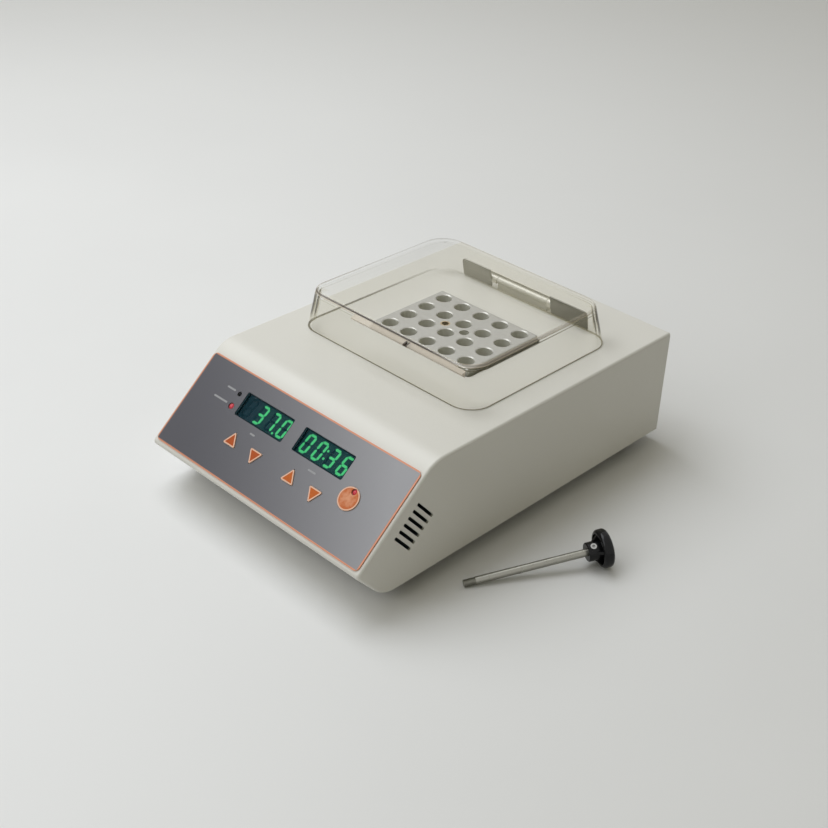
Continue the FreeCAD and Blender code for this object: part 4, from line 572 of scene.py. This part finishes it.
brass = metal("brass", colour(0.60, 0.42, 0.17), colour(0.75, 0.56, 0.26), roughness=0.3)
dull_brass = metal("dull_brass", colour(0.38, 0.30, 0.19), colour(0.48, 0.38, 0.25), roughness=0.45)
steel = metal("bright_steel", colour(0.58, 0.57, 0.55), colour(0.70, 0.69, 0.67), roughness=0.22, scale=0.8)
screw = metal("screw_steel", colour(0.34, 0.34, 0.33), colour(0.50, 0.50, 0.49), roughness=0.2, scale=0.8)
zinc = metal("zinc_plate", colour(0.50, 0.51, 0.53), colour(0.62, 0.63, 0.64), roughness=0.38, scale=0.4)
aluminium = metal("plain_aluminium", colour(0.60, 0.60, 0.60), colour(0.72, 0.72, 0.72), roughness=0.4)
black_screw = metal("black_screw", colour(0.03, 0.03, 0.03), colour(0.06, 0.06, 0.06), roughness=0.45)
dress(brass, "inlet_pins")
dress(dull_brass, "lift_insert")
dress(steel, "hinge_screws")
dress(screw, "tool_set_screw")
dress(zinc, "base_plate", "foot_screws", "board_standoffs", "board_screws", "liner_nuts")
dress(zinc, "heater_bridge", "bridge_posts", "power_posts")
dress(aluminium, "heater_plate", "heat_sink")
dress(black_screw, "base_screws", "rear_screws", "bridge_screws")
print("plain metals dressed")

# %% Rod, liner and core
ROD_LOW = colour(0.26, 0.255, 0.22)
ROD_HIGH = colour(0.30, 0.295, 0.26)
LINER_LOW = colour(0.46, 0.46, 0.45)
LINER_HIGH = colour(0.58, 0.58, 0.56)
IRON_LOW = colour(0.12, 0.12, 0.13)
IRON_HIGH = colour(0.24, 0.24, 0.25)
DRAWN_UP = (1.0, 1.0, 0.05)
STACKED = (0.02, 1.0, 0.02)

rod = metal("rod_steel", ROD_LOW, ROD_HIGH, roughness=0.3, scale=0.2, depth=0.0)
liner = metal("liner_steel", LINER_LOW, LINER_HIGH, roughness=0.4, stretch=DRAWN_UP)
iron = metal("core_iron", IRON_LOW, IRON_HIGH, roughness=0.55, stretch=STACKED)
dress(rod, "tool_rod")
dress(liner, "chamber_liner", "temperature_sensor")
dress(iron, "transformer_core")
print("rod, liner and core dressed")

# %% [markdown]
# ## Heating block
# The block is satin aluminium, milled on top and drilled. Its wells would
# look black, because a metal shows only what it mirrors, and deep in a well
# that is another dark wall. Below the top face the finish is therefore less
# of a metal, and inside the wells it is paler, so they keep their light.

# %% Heating block
BLOCK_MIDDLE = (0.0, 0.0345, 0.0935)
BLOCK_INSIDE = (44.0, 34.0)
TOP_EDGE = -0.6
MILLED_ACROSS = (0.02, 1.0, 1.0)
BLOCK_CLOUD = 0.6
BLOCK_DULL = 0.7
BLOCK_LOW = colour(0.36, 0.355, 0.33)
BLOCK_HIGH = colour(0.47, 0.465, 0.435)
WELL_TONE = colour(0.60, 0.595, 0.54)

block = metal("milled_block", BLOCK_LOW, BLOCK_HIGH, roughness=0.42, stretch=MILLED_ACROSS)
x, y, z = block.split(block.place(BLOCK_MIDDLE))
below_top = 1.0 - z.above(TOP_EDGE)
within = 1.0 - x.size().above(BLOCK_INSIDE[0]).most(y.size().above(BLOCK_INSIDE[1]))
cast = block.noise(block.place(), BLOCK_CLOUD)
plain = block.blend(cast, BLOCK_LOW, BLOCK_HIGH)
block.feed("Base Color", block.blend(below_top * within, plain, WELL_TONE))
block.feed("Metallic", 1.0 - below_top * BLOCK_DULL)
dress(block, "heating_block")
print("block dressed")

# %% [markdown]
# ## Hinge leaf
# The leaf is a long strip of brushed steel on the back of the lid. It goes
# from pale at the left to dark at the right, a painted reflection, and a noise
# makes the change uneven. Near the pin it is a satin pale stretch, less of a
# metal, which is a painted pale reflection too.

# %% Hinge leaf
HINGE_X = -2.5
HINGE_HALF = 27.6
BRUSHED_ACROSS = (0.03, 1.0, 1.0)
LEAF_CLOUD = 0.3
LEAF_UNEVEN = 30.0
LEAF_SPAN = (-40.0, 70.0)
PIN_DULL = 0.6
LEAF_LEFT = colour(0.42, 0.41, 0.37)
LEAF_RIGHT = colour(0.19, 0.186, 0.172)
LEAF_PALE_REFLECTION = colour(0.62, 0.60, 0.53)

leaf = metal("leaf_steel", LEAF_LEFT, LEAF_RIGHT, roughness=0.42, stretch=BRUSHED_ACROSS)
x, y, z = leaf.split(leaf.place((HINGE_X * MM, 0.0, 0.0)))
uneven = leaf.noise(leaf.place(), LEAF_CLOUD)
# Painted reflection: pale at the left, dark at the right, and pale near the pin.
leaf_reflection = leaf.spread(x + uneven * LEAF_UNEVEN, *LEAF_SPAN)
near_pin = 1.0 - x.size().above(HINGE_HALF)
leaf.feed("Base Color", leaf.blend(near_pin, leaf.blend(leaf_reflection, LEAF_LEFT, LEAF_RIGHT), LEAF_PALE_REFLECTION))
leaf.feed("Metallic", 1.0 - near_pin * PIN_DULL)
dress(leaf, "hinge_leaf")
print("leaf dressed")

# %% [markdown]
# ## Plastics, rubber and board
# Moulded plastic has a very fine leathery grain, and one noise for colour,
# gloss and relief keeps the three in step. Rubber is duller. The knob is
# polished black and keeps only faint ripples. The hinge bracket has a satin
# coat, half way to a metal.

# %% Plastic finishes
PLASTIC_SPREAD = 0.1
LEATHER_DEPTH = 0.00002
RIPPLE_DEPTH = 0.000005


def moulded(name, low, high, roughness, scale=1.6, depth=LEATHER_DEPTH, **constants):
    """Plastic or rubber whose grain moves colour, gloss and relief together."""
    finish = Finish(name, **constants)
    grain = finish.noise(finish.place(), scale)
    finish.feed("Base Color", finish.blend(grain, low, high))
    finish.gloss(grain, roughness * (1.0 - PLASTIC_SPREAD), roughness * (1.0 + PLASTIC_SPREAD))
    finish.bump(grain, depth)
    return finish


SATIN_LOW = colour(0.53, 0.515, 0.455)
SATIN_HIGH = colour(0.63, 0.615, 0.55)
KNOB_LOW = colour(0.004, 0.004, 0.0045)
KNOB_HIGH = colour(0.007, 0.007, 0.0075)
RUBBER_LOW = colour(0.018, 0.018, 0.018)
RUBBER_HIGH = colour(0.035, 0.034, 0.033)

satin = moulded("satin_bracket", SATIN_LOW, SATIN_HIGH, roughness=0.5, Metallic=0.55)
polished = moulded("polished_black", KNOB_LOW, KNOB_HIGH, roughness=0.16, scale=0.05, depth=RIPPLE_DEPTH,
                   Specular_IOR_Level=0.22)
fitting = moulded("fitting_black", colour(0.014, 0.014, 0.015), colour(0.026, 0.026, 0.027), roughness=0.48)
rocker = moulded("rocker_black", colour(0.012, 0.012, 0.013), colour(0.02, 0.02, 0.021), roughness=0.3)
rubber = moulded("foot_rubber", RUBBER_LOW, RUBBER_HIGH, roughness=0.75, scale=0.9)
dress(satin, "hinge_bracket", "hinge_pin")
dress(polished, "tool_knob")
dress(fitting, "mains_inlet", "fuse_drawer", "switch_frame", "thermal_cutout")
dress(rocker, "switch_rocker")
dress(rubber, "feet")
print("outer plastics dressed")

# %% [markdown]
# ## Inside the case
# The pieces inside show only when the lid and the case are taken off, so they
# get plain finishes of the same kind. The insulation is pressed fibre, and
# its noise is coarse and deep.

# %% Inner finishes
FIBRE_DEPTH = 0.0003
BOARD_LOW = colour(0.012, 0.085, 0.035)
BOARD_HIGH = colour(0.02, 0.12, 0.05)
SILICONE_LOW = colour(0.48, 0.10, 0.02)
SILICONE_HIGH = colour(0.58, 0.14, 0.03)
FIBRE_LOW = colour(0.62, 0.60, 0.55)
FIBRE_HIGH = colour(0.78, 0.77, 0.72)
SLEEVE_LOW = colour(0.02, 0.02, 0.022)
SLEEVE_HIGH = colour(0.035, 0.035, 0.037)

board = moulded("board_mask", BOARD_LOW, BOARD_HIGH, roughness=0.35, scale=0.3)
component = moulded("component_black", colour(0.02, 0.02, 0.022), colour(0.04, 0.04, 0.042), roughness=0.5)
terminal = moulded("terminal_green", colour(0.02, 0.16, 0.06), colour(0.03, 0.22, 0.09), roughness=0.45)
silicone = moulded("heater_silicone", SILICONE_LOW, SILICONE_HIGH, roughness=0.6, scale=0.8)
fibre = moulded("pressed_fibre", FIBRE_LOW, FIBRE_HIGH, roughness=0.95, scale=0.6, depth=FIBRE_DEPTH)
tape = moulded("winding_tape", colour(0.40, 0.24, 0.03), colour(0.52, 0.33, 0.05), roughness=0.4, scale=0.5)
sleeve = moulded("lead_sleeve", SLEEVE_LOW, SLEEVE_HIGH, roughness=0.55, scale=1.2)
tube = moulded("fuse_tube", colour(0.55, 0.56, 0.55), colour(0.68, 0.69, 0.68), roughness=0.15, scale=0.2)
dress(board, "control_board", "power_board")
dress(component, "board_parts", "tact_switches", "power_switching")
dress(terminal, "terminal_block")
dress(silicone, "heater_mat")
dress(fibre, "insulation_jacket", "insulation_pad")
dress(tape, "transformer_winding")
dress(sleeve, "wiring_loom")
dress(tube, "fuse")
print("inner pieces dressed")

# %% [markdown]
# ## Clear lid
# The lid is one moulding of clear plastic with leaning walls and round
# corners. Here it starts as a cube: its top face is drawn in, its upright
# edges and its rim are bevelled, its floor is taken out, and a Solidify
# modifier gives the wall. The helpers pick faces and edges by their place or
# their direction, as a hand would pick them in edit mode.

# %% Modelling helpers
STEEP = 0.8
FLAT = 0.9


def select_by(test, mode):
    """Select the faces or edges of the edited mesh that pass a test, and no others."""
    active = bpy.context.object
    bpy.ops.mesh.select_all(action="DESELECT")
    bpy.ops.mesh.select_mode(type=mode)
    bpy.ops.object.mode_set(mode="OBJECT")
    mesh = active.data
    parts = mesh.polygons if mode == "FACE" else mesh.edges
    for part in parts:
        part.select = test(mesh, part)
    bpy.ops.object.mode_set(mode="EDIT")


def ends_of(mesh, edge):
    return [mesh.vertices[index].co for index in edge.vertices]


def is_upright(mesh, edge):
    first, second = ends_of(mesh, edge)
    return abs((second - first).normalized().z) > STEEP


def faces_up(mesh, face):
    return face.normal.z > FLAT


def faces_down(mesh, face):
    return face.normal.z < -FLAT


def add_cube(name, low, high):
    """Cube between two corners, ready to be shaped in edit mode."""
    bpy.ops.object.select_all(action="DESELECT")
    bpy.ops.mesh.primitive_cube_add(size=1.0, location=(low + high) / 2)
    piece = bpy.context.object
    piece.name = name
    piece.scale = high - low
    bpy.ops.object.transform_apply(location=True, rotation=True, scale=True)
    return piece


def coat(piece, finish):
    """Make a finish the only one of a piece."""
    piece.data.materials.clear()
    piece.data.materials.append(finish.material)


print("modelling helpers ready")

# %% Lid shell
DECK = 89.0
LID_GAP = 0.3
LID_RISE = 29.5
LID_LOW = DECK + LID_GAP
LID_TOP = DECK + LID_RISE
LID_FRONT = -35.6
LID_REAR = 106.8
LID_LENGTH = LID_REAR - LID_FRONT
LID_MIDDLE = (LID_FRONT + LID_REAR) / 2
LID_HALF = 80.5
TAPER_SIDE = 5.0
TAPER_FRONT = 3.2
TAPER_REAR = 5.8

shell_low = Vector((-LID_HALF, LID_FRONT, LID_LOW)) * MM
shell_high = Vector((LID_HALF, LID_REAR, LID_TOP)) * MM
shell = add_cube("clear_lid", shell_low, shell_high)
bpy.ops.object.mode_set(mode="EDIT")
select_by(faces_up, "FACE")
narrower = (LID_HALF - TAPER_SIDE) / LID_HALF
shorter = (LID_LENGTH - TAPER_FRONT - TAPER_REAR) / LID_LENGTH
bpy.ops.transform.resize(value=(narrower, shorter, 1.0))
bpy.ops.transform.translate(value=(0, (TAPER_FRONT - TAPER_REAR) / 2 * MM, 0))
print("lid starts at", [round(value, 4) for value in shell.dimensions])

# %% [markdown]
# ## Round corners
# The four upright corners have different radii, so each is bevelled by
# itself. The rim follows in one bevel all round, and comes last, because a
# bevel of the rim runs round corners that are already there.

# %% Lid corners
LID_CORNERS = {(-1, -1): 13.5, (1, -1): 17.0, (1, 1): 16.0, (-1, 1): 18.0}
CORNER_STEPS = 12
NEAR_SIDE = 0.07
NEAR_END = 0.06
LID_RIM = 2.2
RIM_STEPS = 5
RIM_REACH = 0.1


def corner_edge(side_x, side_y):
    """Test for the upright edge at one of the four corners."""

    def test(mesh, edge):
        middle = sum(ends_of(mesh, edge), Vector()) / 2
        at_side = middle.x * side_x > NEAR_SIDE
        at_end = (middle.y - LID_MIDDLE * MM) * side_y > NEAR_END
        return at_side and at_end and is_upright(mesh, edge)

    return test


def rim_edge(mesh, edge):
    middle = sum(ends_of(mesh, edge), Vector()) / 2
    return middle.z > (LID_TOP - RIM_REACH) * MM


for (side_x, side_y), corner in LID_CORNERS.items():
    select_by(corner_edge(side_x, side_y), "EDGE")
    bpy.ops.mesh.bevel(offset=corner * MM, segments=CORNER_STEPS, affect="EDGES", clamp_overlap=False)
select_by(rim_edge, "EDGE")
bpy.ops.mesh.bevel(offset=LID_RIM * MM, segments=RIM_STEPS, affect="EDGES", clamp_overlap=False)
print("lid corners:", len(LID_CORNERS))

# %% Lid wall
LID_WALL = 2.5
SMOOTH_BELOW = math.radians(40)

select_by(faces_down, "FACE")
bpy.ops.mesh.delete(type="FACE")
bpy.ops.object.mode_set(mode="OBJECT")
wall = shell.modifiers.new("wall", "SOLIDIFY")
wall.thickness = LID_WALL * MM
wall.offset = -1.0
wall.use_even_offset = True
bpy.ops.object.modifier_apply(modifier=wall.name)
bpy.ops.object.shade_smooth_by_angle(angle=SMOOTH_BELOW)
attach(shell, "lid")
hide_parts("lid_cover")
print("lid faces:", len(shell.data.polygons))

# %% [markdown]
# ## Lines of the lid
# Clear plastic shows by its edges. Light that enters the wall leaves at the
# rim and the foot, and the bends look like drawn lines. Real refraction needs
# many samples and can't be baked, so the lines are masks in the lid's own
# measures: height, distance below the top, and how far away a point lies from
# the camera's side. Each rim line is a band about its own height. The foot
# line goes round the straight sides and stops in the corner arcs. A corner is
# darkened only where it is seen edge-on, which a Layer Weight node tells.

# %% Lid measures
FACING_BLEND = 0.35
AWAY_LEAN = 0.5
ARC_FROM = (64.5, 55.2)

clear = Finish("clear_plastic", Roughness=0.06, IOR=1.49, Specular_IOR_Level=0.35)
x, y, z = clear.split(clear.place((0.0, LID_MIDDLE * MM, LID_LOW * MM)))
facing = clear.add("ShaderNodeLayerWeight", {}, {"Blend": FACING_BLEND}, "Facing")
below_lid_top = LID_TOP - LID_LOW - z
away = y - x * AWAY_LEAN
into_arc_x = (x.size() - ARC_FROM[0]).most(0.0)
into_arc_y = (y.size() - ARC_FROM[1]).most(0.0)
beyond = (into_arc_x * into_arc_x + into_arc_y * into_arc_y).power(0.5)
print("lid height:", round(LID_TOP - LID_LOW, 1), "mm")

# %% Lid lines
FOOT_HEIGHT = 0.6
FOOT_BEYOND = 15.0
FOOT_FADE = (104.0, 24.0, 0.16, 0.75)
OUTER_LINE = 0.9
OUTER_SOFT = (0.70, 0.35)
INNER_LINE = 3.9
INNER_SOFT = (0.50, 0.20)
RIM_FADE = (54.0, -56.0, 0.35, 1.0)
RIGHT_SPAN = (40.0, 72.0)
OUTER_LOSS = 0.4
INNER_LEAST = 0.3
INNER_GAIN = 0.65
BAND_MIDDLE = 1.2
BAND_SOFT = (1.15, 0.75)

foot = (1.0 - z.above(FOOT_HEIGHT)) * beyond.above(FOOT_BEYOND) * clear.spread(away, *FOOT_FADE)
near = clear.spread(away, *RIM_FADE)
to_right = clear.spread(x, *RIGHT_SPAN)
outer = clear.spread((below_lid_top - OUTER_LINE).size(), *OUTER_SOFT) * (1.0 - to_right * OUTER_LOSS)
inner = clear.spread((below_lid_top - INNER_LINE).size(), *INNER_SOFT) * (to_right * INNER_GAIN + INNER_LEAST)
rims = outer.most(inner) * near
# The pale band under the top is painted light on the rim's bend.
rim_light_band = clear.spread((below_lid_top - BAND_MIDDLE).size(), *BAND_SOFT) * near
print("rim lines at", OUTER_LINE, "and", INNER_LINE, "mm below the top")

# %% Corner streaks
EDGE_ON = (0.30, 0.56)
STREAK_FROM = (4.0, 12.0)
STREAK_UNDER_RIM = (1.8, 4.0)
STREAK_SOFT = (0.5, 3.0)

edge_on = clear.spread(facing, *EDGE_ON)
upright = clear.spread(z, *STREAK_FROM) * clear.spread(below_lid_top, *STREAK_UNDER_RIM)
streak = clear.spread(into_arc_x.least(into_arc_y), *STREAK_SOFT) * upright * edge_on
line = foot.most(rims).most(streak)
print("streaks start", STREAK_FROM[0], "mm above the foot")

# %% [markdown]
# ## Tint of the lid
# Between its lines the plastic is almost invisible from above and takes a
# yellowish tint where it is seen at a low angle, so its alpha grows with the
# facing. The left wall is painted darker, a painted shade. A pale band under
# the top is painted light, where the rim's bend shines.

# %% Lid tint
TINT = colour(0.76, 0.70, 0.42)
LEFT_WALL_SHADE = colour(0.36, 0.345, 0.245)
RIM_LIGHT = colour(0.82, 0.72, 0.61)
LINE_TONE = colour(0.042, 0.030, 0.018)
LEFT_LEAN = 0.3
LEFT_SPAN = (-40.7, -85.7)
CLEAR_ALPHA = 0.006
GRAZING_ALPHA = 0.22
GRAZING_POWER = 3.0
HAZE_SCALE = 0.01
HAZE_ALPHA = 0.01
WALL_ALPHA = 0.035
BAND_ALPHA = 0.60
LINE_ALPHA = 0.95

# Painted shade: the left wall of the lid is darker.
left_shade = clear.spread(x - y * LEFT_LEAN, *LEFT_SPAN)
tint_shade_and_light = clear.blend(rim_light_band, clear.blend(left_shade, TINT, LEFT_WALL_SHADE), RIM_LIGHT)
clear.feed("Base Color", clear.blend(line, tint_shade_and_light, LINE_TONE))
haze = clear.noise(clear.place(), HAZE_SCALE, detail=2.0)
on_wall = below_lid_top.above(INNER_LINE)
grazing = facing.power(GRAZING_POWER) * GRAZING_ALPHA
between = grazing + CLEAR_ALPHA + haze * HAZE_ALPHA + on_wall * WALL_ALPHA
clear.feed("Alpha", between.most(rim_light_band * BAND_ALPHA).most(line * LINE_ALPHA))
coat(shell, clear)
print("lid finish ready")

# %% [markdown]
# ## Lip of the lid
# The lip is two clear bars on the front wall, which a finger lifts. They look
# milky. Their dark ends where they meet and their dark lower edge are painted
# shade: drawn lines like the lid's, where light is bent at the edges of the
# clear plastic. Both dark parts are masks on the bars' own place.

# %% Lip finish
LIP_GAP_X = 21.4
LIP_END = 1.9
LIP_LOW_Z = 112.1
LIP_LINE = 0.45
LIP_ALPHA = 0.50
LIP_LINE_ALPHA = 0.40
LIP_PALE = colour(0.76, 0.68, 0.57)
LIP_DARK = colour(0.06, 0.04, 0.027)

lip = Finish("clear_lip", Roughness=0.35, Specular_IOR_Level=0.3)
x, y, z = lip.split(lip.place())
gap_ends = 1.0 - (x - LIP_GAP_X).size().above(LIP_END)
lower_line = 1.0 - (z - LIP_LOW_Z).above(LIP_LINE)
painted_edge_lines = gap_ends.most(lower_line)
lip.feed("Base Color", lip.blend(painted_edge_lines, LIP_PALE, LIP_DARK))
lip.feed("Alpha", painted_edge_lines * LIP_LINE_ALPHA + LIP_ALPHA)
dress(lip, "lid_lip")
print("lip dressed")

# %% [markdown]
# ## Unlit bars
# A numeral is made of seven bars, and those that aren't lit still show as
# dark teal shapes behind the window. Two bars are modelled, a lying and a
# standing one, as small plates with pointed ends, and copied to their places.
# A lean of eight degrees is a matrix with one number off its diagonal.

# %% Bar places
PITCH = 11.3
DIGIT_WIDTH = 7.0
DIGIT_HEIGHT = 14.0
BAR = 1.7
HALF_WIDE = (DIGIT_WIDTH - BAR) / 2
HALF_TALL = (DIGIT_HEIGHT - BAR) / 2
BARS = {
    "top": (0.0, HALF_TALL, "lying"),
    "middle": (0.0, 0.0, "lying"),
    "bottom": (0.0, -HALF_TALL, "lying"),
    "upper_left": (-HALF_WIDE, HALF_TALL / 2, "standing"),
    "upper_right": (HALF_WIDE, HALF_TALL / 2, "standing"),
    "lower_left": (-HALF_WIDE, -HALF_TALL / 2, "standing"),
    "lower_right": (HALF_WIDE, -HALF_TALL / 2, "standing"),
}
LENGTHS = {"lying": 2 * HALF_WIDE, "standing": HALF_TALL}
TURNS = {"lying": 0.0, "standing": math.radians(90)}
DIGIT_PLACES = (-1.5, -0.5, 0.5, 1.5)
UNLIT = [
    (0, 0, list(BARS)),
    (0, 1, ["upper_left", "lower_left"]),
    (0, 2, ["middle", "bottom", "upper_left", "lower_left"]),
    (0, 3, ["middle"]),
    (1, 0, ["middle"]),
    (1, 1, ["middle"]),
    (1, 2, ["upper_left", "lower_left"]),
    (1, 3, ["upper_right"]),
]
print("unlit bars:", sum(len(names) for _, _, names in UNLIT))

# %% Plate helpers


def plate(name, width, height, thickness, bevel, steps):
    """Flat plate about the origin, with its four upright edges bevelled."""
    half = Vector((width / 2, height / 2, thickness / 2)) * MM
    piece = add_cube(name, -half, half)
    bpy.ops.object.mode_set(mode="EDIT")
    select_by(is_upright, "EDGE")
    bpy.ops.mesh.bevel(offset=bevel * MM, segments=steps, affect="EDGES", clamp_overlap=False)
    bpy.ops.object.mode_set(mode="OBJECT")
    return piece


def copy_of(piece):
    """Copy with its own mesh."""
    twin = piece.copy()
    twin.data = piece.data.copy()
    bpy.context.scene.collection.objects.link(twin)
    return twin


def join(pieces, name):
    """One named object of many."""
    bpy.ops.object.select_all(action="DESELECT")
    for piece in pieces:
        piece.select_set(True)
    bpy.context.view_layer.objects.active = pieces[0]
    bpy.ops.object.join()
    joined = bpy.context.object
    joined.name = name
    return joined


print("plate helpers ready")

# %% Unlit bars
FACE_N = -2.4
BAR_THICKNESS = 0.15
POINTED = 0.499
SLANT = math.tan(math.radians(8.0))
UNLIT_LOW = colour(0.006, 0.036, 0.052)
UNLIT_HIGH = colour(0.010, 0.050, 0.070)

patterns = {
    way: plate("bar_pattern", length, BAR, BAR_THICKNESS, BAR * POINTED, steps=1)
    for way, length in LENGTHS.items()
}


def unlit_bar(display, digit, name):
    """Copy of a pattern bar, laid on the face of its module."""
    across, up, way = BARS[name]
    lean = Matrix.Identity(4)
    lean[0][1] = SLANT
    x = DISPLAYS[display] + DIGIT_PLACES[digit] * PITCH + across + up * SLANT
    step = Matrix.Translation(Vector((x, DISPLAY_S + up, FACE_N + BAR_THICKNESS / 2)) * MM)
    bar = copy_of(patterns[way])
    bar.data.transform(panel_matrix @ step @ lean @ Matrix.Rotation(TURNS[way], 4, "Z"))
    return bar


bars = [unlit_bar(display, digit, name) for display, digit, names in UNLIT for name in names]
for pattern in patterns.values():
    bpy.data.objects.remove(pattern)
unlit = join(bars, "unlit_segments")
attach(unlit, "case")
unlit_teal = moulded("unlit_teal", UNLIT_LOW, UNLIT_HIGH, roughness=0.6, scale=0.5, Specular_IOR_Level=0.05)
coat(unlit, unlit_teal)
print("unlit bars faces:", len(unlit.data.polygons))

# %% [markdown]
# ## Printed marks
# The legends beside the lamps and the displays are plain pale dashes of ink
# with rounded ends. They differ in size, so each is a plate of its own, laid
# just over the film. An image of the print would tie the part to a file.

# %% Legends
LEGENDS = [
    (-66.3, 57.8, 8.2, 1.3),
    (-69.4, 48.3, 13.4, 1.3),
    (-28.8, 39.1, 4.6, 1.2),
    (28.2, 39.3, 7.0, 1.2),
]
PRINT_N = 0.8
PRINT_THICKNESS = 0.05
END_ROUND = 0.45
END_STEPS = 4


def legend(x, s, width, height):
    """Flat dash of pale ink with rounded ends."""
    dash = plate("legend", width, height, PRINT_THICKNESS, height * END_ROUND, END_STEPS)
    step = Matrix.Translation(Vector((x, s, PRINT_N + PRINT_THICKNESS / 2)) * MM)
    dash.data.transform(panel_matrix @ step)
    return dash


prints = join([legend(*values) for values in LEGENDS], "panel_legends")
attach(prints, "case")
ink = moulded("pale_ink", colour(0.23, 0.23, 0.235), colour(0.30, 0.30, 0.305), roughness=0.5, scale=1.5)
coat(prints, ink)
print("legends:", len(LEGENDS))

# %% [markdown]
# ## Floor
# The bench is a plain pale floor, faintly uneven in tone, that takes the
# shadow of the object.

# %% Floor
FLOOR_SIZE = 14.0
FLOOR_LOW = colour(0.74, 0.74, 0.735)
FLOOR_HIGH = colour(0.80, 0.80, 0.795)

bpy.ops.object.select_all(action="DESELECT")
bpy.ops.mesh.primitive_plane_add(size=FLOOR_SIZE)
floor = bpy.context.object
floor.name = "floor"
coat(floor, moulded("pale_floor", FLOOR_LOW, FLOOR_HIGH, roughness=0.5, scale=0.004, depth=0.0))
print("floor ready")
